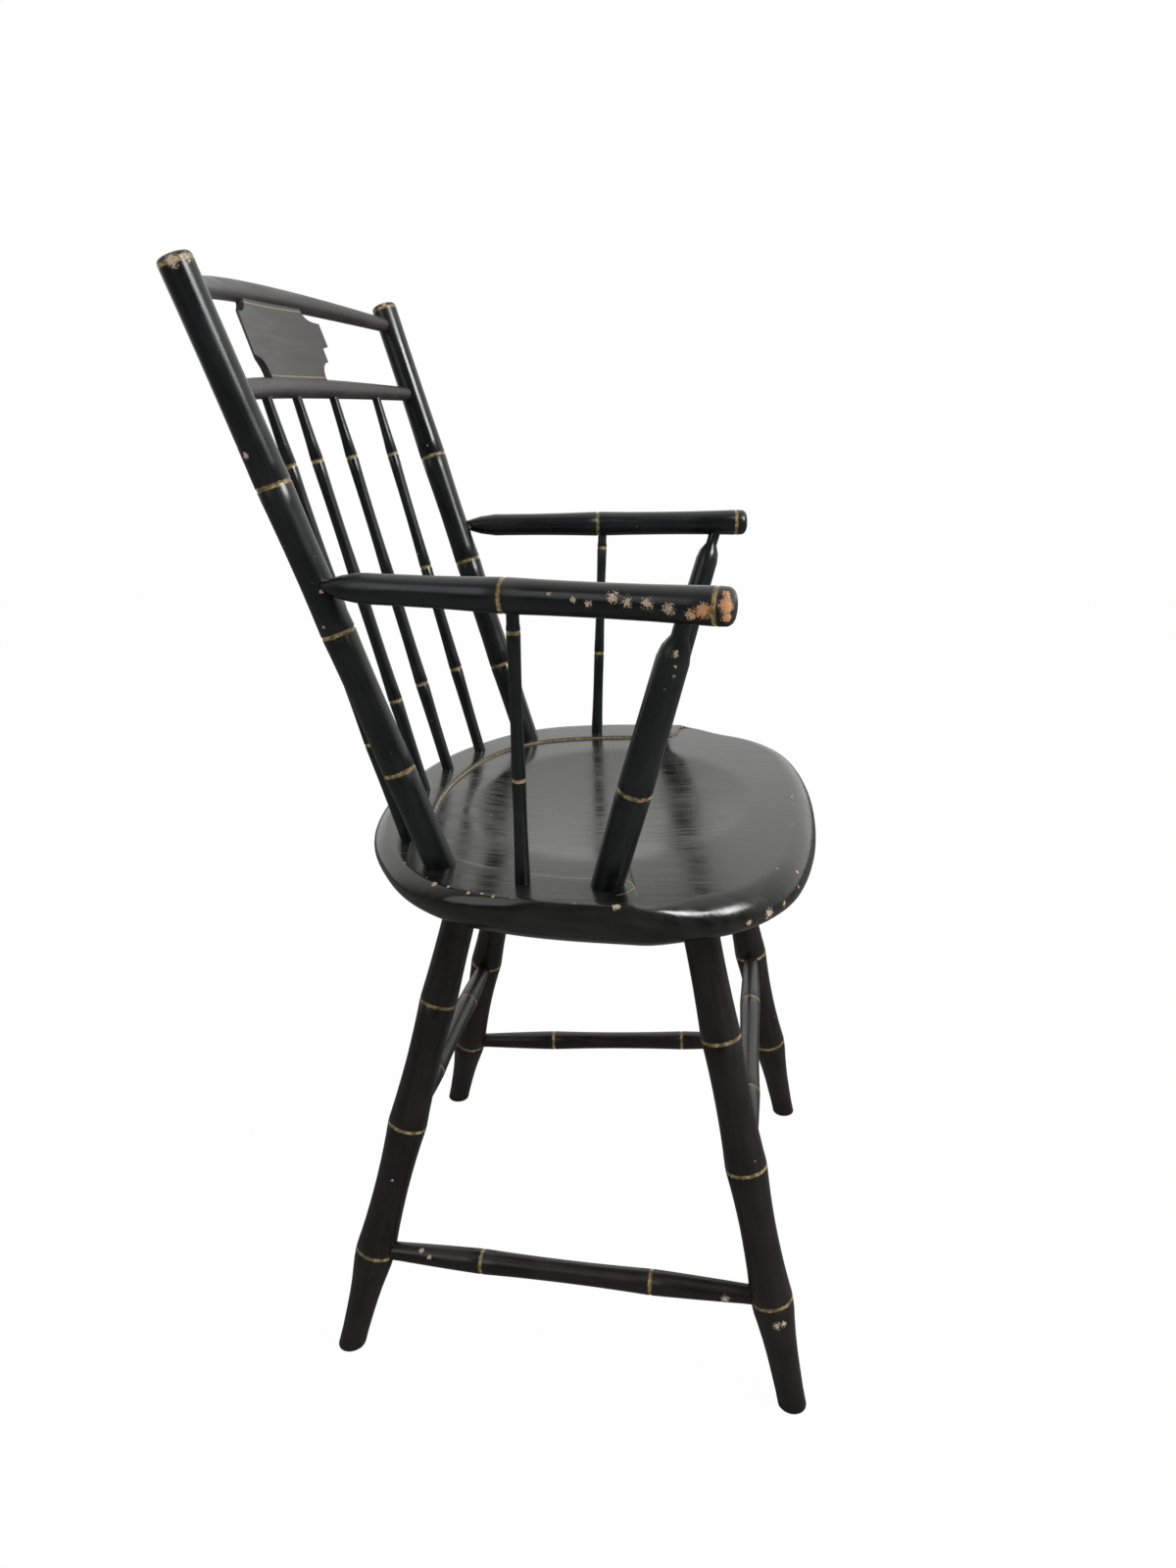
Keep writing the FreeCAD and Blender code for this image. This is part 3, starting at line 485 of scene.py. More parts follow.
def editAll(piece):
    selectNone()
    piece.select_set(True)
    bpy.context.view_layer.objects.active = piece
    bpy.ops.object.mode_set(mode="EDIT")
    bpy.ops.mesh.select_all(action="SELECT")


def faceOutward():                # the last step in edit mode
    bpy.ops.mesh.select_all(action="SELECT")
    bpy.ops.mesh.normals_make_consistent(inside=False)
    bpy.ops.object.mode_set(mode="OBJECT")


def rideAs(piece, node):
    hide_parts(node)
    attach(piece, "root")


def layAttribute(piece, name, values, kind="FLOAT"):
    attribute = piece.data.attributes.new(name, kind, "POINT")
    field = "vector" if kind == "FLOAT_VECTOR" else "value"
    attribute.data.foreach_set(field, values)


def finishPiece(piece, node, material, angle=50):
    bpy.ops.object.shade_smooth_by_angle(angle=math.radians(angle))
    piece.data.materials.append(material)
    rideAs(piece, node)


groove = {"reach": 0.0014, "flat": 0.0006, "deep": 0.00045, "shallow": 0.0003, "faint": 0.0002}


def ringed(at, radius, hollow, depth="deep"):    # the scored ring at a node, after the hollow before it
    reach, flat = groove["reach"], groove["flat"]
    floor = radius - groove[depth]
    return [(at - reach, radius, hollow), (at - flat, floor), (at + flat, floor), (at + reach, radius)]


def crowned(end, radius, steps):  # a rounded end: each step along the rod and inward
    return [(end + along, radius - inward) for along, inward in steps]


unevenness = 0.003


def spread(profile, step=0.013):  # stations close together, on a smooth curve through each hollow
    stations = [profile[0][:2]]
    for entry in profile[1:]:
        startAt, startR = stations[-1]
        endAt, endR = entry[:2]
        count = max(1, round((endAt - startAt) / step))
        middle = entry[2] if len(entry) == 3 else (startR + endR) / 2
        bend = 4 * (middle - (startR + endR) / 2)
        for i in range(1, count + 1):
            share = i / count
            radius = startR + (endR - startR) * share + bend * share * (1 - share)
            if i < count:
                radius *= 1 + random.uniform(-unevenness, unevenness)
            stations.append((startAt + (endAt - startAt) * share, radius))
    return stations


def turnedRod(node, foot, direction, profile, rings, material, sides=40):
    stations = spread(profile)
    selectNone()
    firstAt, firstR = stations[0]
    bpy.ops.mesh.primitive_circle_add(vertices=sides, radius=firstR, fill_type="NGON", location=(0, 0, 0))
    piece = bpy.context.object
    piece.name = "turned_" + node
    piece.data.name = piece.name
    bpy.ops.object.mode_set(mode="EDIT")
    bpy.ops.mesh.select_all(action="SELECT")
    bpy.ops.transform.translate(value=(0, 0, firstAt))
    for (lastAt, lastR), (nextAt, nextR) in zip(stations, stations[1:]):
        bpy.ops.mesh.extrude_region_move(TRANSFORM_OT_translate={"value": (0, 0, nextAt - lastAt)})
        grow = nextR / lastR
        bpy.ops.transform.resize(value=(grow, grow, 1), center_override=(0, 0, nextAt))
    faceOutward()
    flat = [axis for vertex in piece.data.vertices for axis in vertex.co]
    layAttribute(piece, "along", flat, "FLOAT_VECTOR")
    layAttribute(piece, "ringGap", [min(abs(v.co.z - ring) for ring in rings) for v in piece.data.vertices])
    piece.matrix_world = Matrix.Translation(foot) @ direction.to_track_quat("Z", "Y").to_matrix().to_4x4()
    bpy.ops.object.transform_apply(location=True, rotation=True, scale=True)
    finishPiece(piece, node, material)
    return piece


def leaningRod(foot, lean):
    return Vector(foot), Vector((lean[0], lean[1], 1.0)).normalized()


def postPoint(side, above):
    x, y = chair["postFoot"]
    leanX, leanY = chair["postLean"]
    return Vector((side * (x + leanX * above), y + leanY * above, chair["seatTop"] + above))


backPost = {
    "tenon": 0.012, "length": 0.437, "rings": [0.0795, 0.187, 0.2915], "topRing": 0.4325,
    "land": 0.008, "foot": 0.0115, "node": 0.0122, "waist": 0.0114, "top": 0.0115, "crownFrom": 0.0046,
    "crown": [(-0.0032, 0.0001), (-0.0018, 0.0006), (-0.0007, 0.0018), (0.0, 0.0038), (0.0004, 0.0075)],
}


def buildBackPosts(material):
    shape = backPost
    for name, side in bothSides:
        lean = (side * chair["postLean"][0], chair["postLean"][1])
        foot, direction = leaningRod(postPoint(side, 0.0), lean)
        profile = [(-shape["tenon"], shape["foot"]), (shape["land"], shape["foot"])]
        hollow = shape["foot"]
        for ring in shape["rings"]:
            profile += ringed(ring, shape["node"], hollow)
            hollow = shape["waist"]
        end = shape["length"]
        profile += [(end - shape["crownFrom"], shape["top"], hollow)]
        profile += crowned(end, shape["top"], shape["crown"])
        turnedRod("back_post_" + name, foot, direction, profile, shape["rings"] + [shape["topRing"]],
                  material)


backSpindle = {
    "count": 5, "pitch": 0.060, "pitchTop": 0.070, "arcY": 0.11722, "arcFall": 1.5,
    "tenon": 0.010, "land": 0.006, "rings": [0.084, 0.1845, 0.2915], "foot": 0.0052, "top": 0.0039,
    "topLand": 0.012,
}


def railArc(above, rise, bow):    # the arc through both posts and a middle behind them
    left, right = postPoint(-1, above), postPoint(1, above)
    chord = (left + right) / 2
    middle = chord + Vector((0, bow, rise))
    sag = (middle - chord).length
    half = (right - left).length / 2
    radius = (half * half + sag * sag) / (2 * sag)
    outward = (middle - chord).normalized()
    return middle - outward * radius, radius, outward, half


def buildBackSpindles(material):
    shape = backSpindle
    centre, radius, outward, half = railArc(chair["lowerRail"], railShape["lowerRise"], railShape["bow"])
    for index in range(shape["count"]):
        place = index - (shape["count"] - 1) / 2
        x = place * shape["pitch"]
        foot = Vector((x, shape["arcY"] - shape["arcFall"] * x * x, chair["seatTop"]))
        turn = math.asin(place * shape["pitchTop"] / radius)
        top = centre + outward * (radius * math.cos(turn)) + Vector((radius * math.sin(turn), 0, 0))
        length = (top - foot).length
        low, mid, high = shape["rings"]
        profile = [(-shape["tenon"], shape["foot"]), (shape["land"], shape["foot"])]
        profile += ringed(low, shape["foot"] + 0.0008, shape["foot"] + 0.0001, "shallow")
        profile += ringed(mid, shape["foot"] + 0.0003, shape["foot"], "shallow")
        profile += ringed(high, shape["foot"], shape["top"] + 0.0008, "shallow")
        profile += [(length - shape["topLand"], shape["top"], shape["top"] + 0.0004), (length, shape["top"])]
        turnedRod("back_spindle_%d" % (index + 1), foot, (top - foot).normalized(), profile, shape["rings"],
                  material, sides=28)


armShape = {
    "backOut": 0.0081, "backForward": 0.008, "spread": 0.0482, "run": 0.2712, "fall": 0.0041,
    "ring": 0.1305, "frontRing": 0.268, "shoulder": 0.029, "neck": 0.0084,
    "tip": 0.0042, "back": 0.0104, "node": 0.0117, "front": 0.0122,
    "crown": [(-0.0006, 0.0003), (0.0008, 0.0009), (0.0022, 0.0021), (0.0032, 0.0038),
              (0.0038, 0.0062), (0.004, 0.0092)],
}


def armLine(side):
    shape = armShape
    back = postPoint(side, chair["armHeight"]) + Vector((side * shape["backOut"], -shape["backForward"], 0))
    front = back + Vector((side * shape["spread"], -shape["run"], -shape["fall"]))
    return back, front


def buildArms(material):
    shape = armShape
    for name, side in bothSides:
        back, front = armLine(side)
        length = (front - back).length
        profile = [(-0.003, shape["tip"] - 0.002), (0.0, shape["tip"]),
                   (shape["shoulder"], shape["back"], shape["neck"])]
        profile += ringed(shape["ring"], shape["node"], shape["back"] + 0.0001)
        profile += ringed(shape["frontRing"], shape["front"], shape["back"] + 0.0007, "faint")
        profile += crowned(length, shape["front"], shape["crown"])
        turnedRod("arm_" + name, back, (front - back).normalized(), profile,
                  [shape["ring"], shape["frontRing"]], material)


armPin = {"radius": 0.00235, "along": 0.003, "drop": 0.001, "out": 0.0057, "in": 0.0048}


def buildArmPins(material):       # the peg that holds each arm's end to the back post
    shape = armPin
    for name, side in bothSides:
        back, front = armLine(side)
        through = back + (front - back).normalized() * shape["along"] - Vector((0, 0, shape["drop"]))
        axis = postPoint(side, through.z - chair["seatTop"])
        length = (axis - through).length
        profile = [(-shape["out"], shape["radius"] - 0.0004), (-shape["out"] + 0.0002, shape["radius"]),
                   (length + shape["in"], shape["radius"])]
        turnedRod("arm_pin_" + name, through, (axis - through).normalized(), profile, [1.0],
                  material, sides=20)


armPost = {
    "foot": (0.1902, -0.07218), "at": 0.2505, "tenon": 0.012, "land": 0.007, "ring": 0.083,
    "neckLength": 0.024, "footR": 0.0117, "node": 0.0123, "shoulder": 0.0109, "neck": 0.0056,
}


def armSupport(side, foot, at):
    back, front = armLine(side)
    top = back + (front - back).normalized() * at
    bottom = Vector((side * foot[0], foot[1], chair["seatTop"]))
    return bottom, top


def buildArmPosts(material):
    shape = armPost
    for name, side in bothSides:
        foot, top = armSupport(side, shape["foot"], shape["at"])
        length = (top - foot).length
        neck = length - shape["neckLength"]
        profile = [(-shape["tenon"], shape["footR"]), (shape["land"], shape["footR"])]
        profile += ringed(shape["ring"], shape["node"], shape["footR"] + 0.0003)
        profile += [(neck - 0.014, shape["shoulder"], shape["shoulder"] + 0.0006),
                    (neck - 0.006, shape["shoulder"] - 0.0014, shape["shoulder"] - 0.0003),
                    (neck + 0.002, shape["neck"], shape["neck"] + 0.0016), (length, shape["neck"])]
        turnedRod("arm_post_" + name, foot, (top - foot).normalized(), profile, [shape["ring"]],
                  material)


armSpindle = {
    "foot": (0.192, -0.01138), "at": 0.1355, "tenon": 0.010, "land": 0.006, "rings": [0.082, 0.187],
    "footR": 0.0056, "node": 0.0050, "waist": 0.0043,
}


def buildArmSpindles(material):
    shape = armSpindle
    for name, side in bothSides:
        foot, top = armSupport(side, shape["foot"], shape["at"])
        length = (top - foot).length
        low, high = shape["rings"]
        profile = [(-shape["tenon"], shape["footR"]), (shape["land"], shape["footR"])]
        profile += ringed(low, shape["node"], shape["node"] - 0.0001, "shallow")
        profile += ringed(high, shape["node"] - 0.0002, shape["waist"], "shallow")
        profile += [(high + shape["land"], shape["waist"]), (length, shape["waist"])]
        turnedRod("arm_spindle_" + name, foot, (top - foot).normalized(), profile, shape["rings"],
                  material, sides=28)


legShape = {
    "frontFoot": (0.1991, -0.21748), "rearFoot": (0.1835, 0.16162),
    "frontLean": (-0.1018, 0.2006), "rearLean": (-0.193, -0.2654),
    "frontRings": [0.0972, 0.2112, 0.3185], "rearRings": [0.0887, 0.203, 0.3095],
    "foot": 0.0113, "ankle": 0.012, "low": 0.0169, "mid": 0.0164, "high": 0.0154,
    "waist": 0.0142, "top": 0.0136, "seatUnder": 0.4105, "tenon": 0.012, "footEdge": 0.0012,
    "belowFloor": 0.010, "footLand": 0.014, "ankleAt": 0.034, "swellFrom": 0.021,
}


def legLine(side, front):
    foot = legShape["frontFoot"] if front else legShape["rearFoot"]
    lean = legShape["frontLean"] if front else legShape["rearLean"]
    return leaningRod((side * foot[0], foot[1], 0.0), (side * lean[0], lean[1]))


def buildLegs(material):
    shape = legShape
    for name, side, front in (("front_left", 1, True), ("front_right", -1, True),
                              ("rear_left", 1, False), ("rear_right", -1, False)):
        foot, direction = legLine(side, front)
        rings = [height / direction.z for height in shape["frontRings" if front else "rearRings"]]
        under = shape["seatUnder"] / direction.z
        profile = [(-shape["belowFloor"], shape["foot"]), (shape["footLand"], shape["foot"]),
                   (shape["ankleAt"], shape["ankle"]),
                   (rings[0] - shape["swellFrom"], shape["low"] - 0.0017, shape["ankle"] + 0.0011)]
        profile += ringed(rings[0], shape["low"], shape["low"] - 0.0005)
        profile += ringed(rings[1], shape["mid"], shape["waist"])
        profile += ringed(rings[2], shape["high"], shape["waist"])
        profile += [(under - shape["tenon"], shape["top"], shape["top"] + 0.0002),
                    (under + shape["tenon"], shape["top"])]
        piece = turnedRod("leg_" + name, foot, direction, profile, rings, material, sides=44)
        cutFlat(piece, 0.0)


def cutFlat(piece, height):       # the foot is sawn level with the floor and its edge softened
    editAll(piece)
    bpy.ops.mesh.bisect(plane_co=(0, 0, height), plane_no=(0, 0, 1), use_fill=True, clear_inner=True)
    bpy.ops.mesh.bevel(offset=legShape["footEdge"], segments=2, affect="EDGES")
    bpy.ops.object.mode_set(mode="OBJECT")
    for vertex in piece.data.vertices:
        vertex.co.z = max(height, vertex.co.z)
    bpy.ops.object.shade_smooth_by_angle(angle=math.radians(50))


stretcherShape = {
    "end": 0.0076, "node": 0.010, "waist": 0.0089, "taper": 0.022, "rings": (0.287, 0.713),
    "belowRing": 0.004,
}


def legPoint(side, front, height):
    foot, direction = legLine(side, front)
    return foot + direction * (height / direction.z)


def buildStretchers(material):
    shape = stretcherShape
    low = (legShape["frontRings"][0], legShape["rearRings"][0])
    mid = (legShape["frontRings"][1] - shape["belowRing"], legShape["rearRings"][1] - shape["belowRing"])
    runs = {
        "left": (legPoint(1, True, low[0]), legPoint(1, False, low[1])),
        "right": (legPoint(-1, True, low[0]), legPoint(-1, False, low[1])),
        "front": (legPoint(-1, True, mid[0]), legPoint(1, True, mid[0])),
        "rear": (legPoint(-1, False, mid[1]), legPoint(1, False, mid[1])),
    }
    for name, (near, far) in runs.items():
        length = (far - near).length
        rings = [share * length for share in shape["rings"]]
        profile = [(0.0, shape["end"]), (shape["taper"], shape["end"])]
        profile += ringed(rings[0], shape["node"], shape["end"] + 0.0014, "shallow")
        profile += ringed(rings[1], shape["node"], shape["waist"], "shallow")
        profile += [(length - shape["taper"], shape["end"], shape["end"] + 0.0014), (length, shape["end"])]
        turnedRod("stretcher_" + name, near, (far - near).normalized(), profile, rings,
                  material, sides=32)


# Bent rails and the board between them

railShape = {
    "bow": 0.0395, "lowerRise": 0.0054, "crestRise": 0.013,
    "middle": 0.0080, "end": 0.0059, "swell": 0.8, "steps": 40, "sides": 32,
}


def buildRail(node, above, rise, material):
    shape = railShape
    centre, radius, outward, half = railArc(above, rise, shape["bow"])
    reach = math.asin(half / radius)
    selectNone()
    bpy.ops.mesh.primitive_circle_add(vertices=shape["sides"], radius=shape["middle"], fill_type="NGON",
                                      location=(radius, 0, 0), rotation=(math.radians(90), 0, 0))
    piece = bpy.context.object
    piece.name = "bent_" + node
    bpy.ops.object.transform_apply(location=True, rotation=True, scale=True)
    editAll(piece)
    bpy.ops.mesh.spin(steps=shape["steps"], angle=2 * reach, center=(0, 0, 0), axis=(0, 0, 1), dupli=False)
    bpy.ops.mesh.select_all(action="SELECT")
    bpy.ops.mesh.remove_doubles(threshold=0.00001)
    faceOutward()
    turns = [math.atan2(v.co.y, v.co.x) for v in piece.data.vertices]
    firstTurn = min(turns)
    alongs = []
    for vertex, turn in zip(piece.data.vertices, turns):
        share = (turn - firstTurn) / (2 * reach)
        swell = math.sin(math.pi * min(1.0, max(0.0, share))) ** shape["swell"]
        grow = (shape["end"] + (shape["middle"] - shape["end"]) * swell) / shape["middle"]
        spine = Vector((math.cos(turn), math.sin(turn), 0)) * radius
        vertex.co = spine + (vertex.co - spine) * grow
        alongs += [vertex.co.length - radius, vertex.co.z, turn * radius]
    layAttribute(piece, "along", alongs, "FLOAT_VECTOR")
    middleTurn = firstTurn + reach
    across = Vector((1, 0, 0))
    axis = outward.cross(across)
    turnBack = Matrix.Rotation(-middleTurn, 4, "Z")
    stand = Matrix((outward, across, -axis)).transposed().to_4x4()
    piece.data.transform(turnBack)
    piece.matrix_world = Matrix.Translation(centre) @ stand
    bpy.ops.object.transform_apply(location=True, rotation=True, scale=True)
    editAll(piece)
    faceOutward()
    finishPiece(piece, node, material)


board = {
    "ahead": 0.005, "thick": 0.0064, "earThick": 0.0015, "bevelFrom": 0.0615, "ear": 0.0805,
    "soft": 0.0005,
    "level": 0.7942,                  # height at which the lean is nothing
    "columns": 40,
    "rows": [(0.7955, 0.0569, 0.0569), (0.8004, 0.0569, 0.0569), (0.8042, 0.0580, 0.0580),
             (0.8084, 0.0614, 0.0614), (0.8107, 0.0655, 0.0655), (0.8117, 0.0709, 0.0709),
             (0.8132, 0.0709, 0.0804), (0.8228, 0.0709, 0.0800), (0.8242, 0.0799, 0.0799),
             (0.8330, 0.0795, 0.0795), (0.8428, 0.0789, 0.0789), (0.8434, 0.0698, 0.0698),
             (0.8444, 0.0640, 0.0640), (0.8464, 0.0594, 0.0594), (0.8490, 0.0562, 0.0562),
             (0.8520, 0.0544, 0.0544), (0.8546, 0.0544, 0.0544)],    # height, left half, right half
}


def boardPoint(centre, radius, across, row):    # a place on the front face and the thickness behind it
    shape = board
    height, left, right = row
    x = -right + (left + right) * across
    leanBack = chair["postLean"][1] * (height - shape["level"])
    y = centre.y + leanBack + math.sqrt((radius - shape["ahead"]) ** 2 - x * x)
    thin = smoothShare(abs(x), shape["bevelFrom"], shape["ear"])
    return Vector((x, y, height)), shape["thick"] + (shape["earThick"] - shape["thick"]) * thin


def buildBoard(material):         # the medallion: bent, with coved corners and ears thinned from behind
    shape = board
    centre, radius = railArc(chair["lowerRail"], 0.0, railShape["bow"])[:2]
    last = len(shape["rows"]) - 1
    selectNone()
    bpy.ops.mesh.primitive_grid_add(x_subdivisions=shape["columns"], y_subdivisions=last, size=1.0)
    piece = bpy.context.object
    piece.name = "bent_crest_medallion"
    piece.data.name = piece.name
    behind = []
    for vertex in piece.data.vertices:
        row = shape["rows"][round((vertex.co.y + 0.5) * last)]
        vertex.co, thick = boardPoint(centre, radius, vertex.co.x + 0.5, row)
        behind.append(vertex.co + Vector((0, thick, 0)))
    editAll(piece)
    bpy.ops.mesh.duplicate_move()
    bpy.ops.mesh.flip_normals()
    bpy.ops.object.mode_set(mode="OBJECT")
    for vertex, place in zip(piece.data.vertices[len(behind):], behind):
        vertex.co = place
    selectRims()
    bpy.ops.mesh.bridge_edge_loops()
    faceOutward()
    soft = piece.modifiers.new("soft_edges", "BEVEL")
    soft.width = shape["soft"]
    soft.segments = 2
    soft.limit_method = "ANGLE"
    soft.angle_limit = math.radians(40)
    bpy.ops.object.modifier_apply(modifier=soft.name)
    finishPiece(piece, "crest_medallion", material, 35)


def selectRims():                 # the open edges of the active piece, in edit mode
    bpy.ops.object.mode_set(mode="EDIT")
    bpy.ops.mesh.select_mode(type="EDGE")
    bpy.ops.mesh.select_all(action="DESELECT")
    bpy.ops.mesh.select_non_manifold()


# The seat

seatShape = {
    "back": 0.163, "front": 0.1985, "half": 0.225, "thick": 0.040,
    "plan": [(0.0, 1.0), (0.261, 0.969), (0.472, 0.892), (0.644, 0.773), (0.793, 0.625), (0.907, 0.424),
             (0.968, 0.157), (0.992, -0.085), (0.999, -0.307), (1.0, -0.42), (0.97, -0.543),
             (0.905, -0.696), (0.79, -0.826), (0.62, -0.92), (0.332, -0.981), (0.0, -1.0)],
    "gutter": [(0.0, 0.125), (0.0292, 0.124), (0.0787, 0.116), (0.120, 0.100), (0.150, 0.076),
               (0.165, 0.048), (0.174, 0.015), (0.1782, -0.0154), (0.1787, -0.0384), (0.1852, -0.0569),
               (0.1992, -0.0664), (0.212, -0.0676), (0.2215, -0.0681)],
    "sideBulge": 0.002, "backBulge": 0.011, "bulgeDepth": 0.0105, "backFrom": 0.100,
    "underSide": 0.029, "underBack": 0.040, "underFront": 0.054,
    "step": 0.0024, "rollWidth": 0.020, "rollDrop": 0.019, "rollFrom": -0.066, "rollFull": -0.122,
    "dish": 0.0075, "dishX": 0.141, "dishY": 0.120, "dishMiddle": -0.022,
    "gutterColumns": 58, "frontColumns": 36, "innerLoops": 26, "round": 0.0007,
    "rollTurns": (0, 9, 18, 28, 38, 50, 62, 76, 90), "underTurns": (12, 24, 36, 48, 60, 72, 82, 90),
    "sideShares": (0, 0.012, 0.03, 0.08, 0.15, 0.23, 0.31, 0.39, 0.47, 0.55, 0.63, 0.71, 0.79, 0.86,
                   0.93, 0.98, 1.0),
    "rimShares": (0.12, 0.35, 0.62, 0.86), "landing": 0.0018, "landingShare": 0.3,
    "lipSteps": ((0.35, 0.06), (0.0, 0.5), (-0.35, 0.94), (-1.0, 1.0)), "lip": 0.0022, "lipShare": 0.36,
    "sunkInset": 0.003, "sunkMore": 0.010, "sunkColumns": 9, "crowding": 0.92,
    "outlineSteps": 30, "gutterSteps": 20, "evenings": 12,
}


def mirrored(p):
    return Vector((-p.x, p.y, p.z))


def smoothPath(points, steps, closed):
    count = len(points)
    path = []
    for i in range(count if closed else count - 1):
        if closed:
            a, b, c, d = [points[(i + k) % count] for k in (-1, 0, 1, 2)]
        else:
            b, c = points[i], points[i + 1]
            a = points[i - 1] if i else mirrored(c)
            d = points[i + 2] if i + 2 < count else c + (c - b)
        for k in range(steps):
            t = k / steps
            path.append(0.5 * (2 * b + (c - a) * t + (2 * a - 5 * b + 4 * c - d) * t ** 2
                               + (3 * b - a - 3 * c + d) * t ** 3))
    if not closed:
        path.append(points[-1].copy())
    return path


def evenly(path, count):          # count + 1 places at even distances along a path
    lengths = [0.0]
    for a, b in zip(path, path[1:]):
        lengths.append(lengths[-1] + (b - a).length)
    places = []
    k = 0
    for i in range(count + 1):
        target = lengths[-1] * i / count
        while k < len(path) - 2 and lengths[k + 1] < target:
            k += 1
        share = (target - lengths[k]) / max(1e-9, lengths[k + 1] - lengths[k])
        places.append(path[k].lerp(path[k + 1], min(1.0, share)))
    return places


def smoothShare(value, low, high):
    share = min(1.0, max(0.0, (value - low) / (high - low)))
    return share * share * (3 - 2 * share)


def quarter(reach, depth, full):
    share = min(1.0, max(0.0, depth / full))
    return reach * (1 - math.sqrt(1 - share * share))


def seatInset(depth, y):          # how far the edge is drawn in at a depth below the rim
    s = seatShape
    share = min(1.0, max(0.0, y / s["backFrom"]))
    bulge = s["sideBulge"] + (s["backBulge"] - s["sideBulge"]) * share
    under = s["underSide"] + (s["underBack"] - s["underSide"]) * share
    if depth < s["bulgeDepth"]:
        side = -bulge * (1 - (1 - depth / s["bulgeDepth"]) ** 2)
    else:
        side = -bulge + quarter(under + bulge, depth - s["bulgeDepth"], s["thick"] - s["bulgeDepth"])
    widest = s["step"] + s["rollDrop"]
    roll = quarter(s["rollWidth"], widest - depth, s["rollDrop"])
    roll += quarter(s["underFront"], depth - widest, s["thick"] - widest)
    front = smoothShare(-y, -s["rollFrom"], -s["rollFull"])
    return side * (1 - front) + roll * front


def seatColumns():                # half the seat: each column's place on the outline and on the gutter
    s = seatShape
    half = [Vector((x * s["half"], y * (s["back"] if y > 0 else s["front"]), 0)) for x, y in s["plan"]]
    loop = half + [mirrored(p) for p in reversed(half[1:-1])]
    dense = smoothPath(loop, s["outlineSteps"], True)[:s["outlineSteps"] * (len(half) - 1) + 1]
    curve = smoothPath([Vector((x, y, 0)) for x, y in s["gutter"]], s["gutterSteps"], False)
    gutter = evenly(curve, s["gutterColumns"])
    nearest = [min(range(len(dense)), key=lambda k: (dense[k] - g).length) for g in gutter]
    for i in range(1, len(nearest)):
        nearest[i] = max(nearest[i], nearest[i - 1])
    marks = [float(k) for k in nearest]
    for _ in range(s["evenings"]):
        inner = [(marks[i - 1] + 2 * marks[i] + marks[i + 1]) / 4 for i in range(1, len(marks) - 1)]
        marks = [0.0] + inner + [marks[-1]]
    outline = [dense[int(m)].lerp(dense[min(int(m) + 1, len(dense) - 1)], m - int(m)) for m in marks]
    outline += evenly(dense[int(marks[-1]):], s["frontColumns"])[1:]
    return outline, gutter


def inwardOf(outline):            # at each column, the level direction into the seat
    inward = []
    for i in range(len(outline)):
        before = outline[i - 1] if i else mirrored(outline[1])
        after = outline[i + 1] if i + 1 < len(outline) else mirrored(outline[-2])
        tangent = (after - before).normalized()
        inward.append(Vector((tangent.y, -tangent.x, 0)))
    return inward


def edgeLoops(outline, inward, sunk):    # from the underside up to the rim
    s = seatShape
    widest = s["step"] + s["rollDrop"]
    under = s["thick"] - widest
    frontDepths = [widest - s["rollDrop"] * math.cos(math.radians(turn)) for turn in s["rollTurns"]]
    frontDepths += [widest + under * math.sin(math.radians(turn)) for turn in s["underTurns"]]
    loops = []
    for j in range(len(frontDepths) - 1, -1, -1):
        loop = []
        for i, place in enumerate(outline):
            top = s["step"] if sunk[i] else 0.0
            side = top + (s["thick"] - top) * s["sideShares"][j]
            front = smoothShare(-place.y, -s["rollFrom"], -s["rollFull"])
            depth = side * (1 - front) + frontDepths[j] * front
            inset = seatInset(depth, place.y)
            if j == 0:
                inset += s["round"] * (1 - front)
            p = place + inward[i] * inset
            loop.append((Vector((p.x, p.y, -depth)), 1.0, depth if j else 0.0))
        loops.append(loop)
    return loops


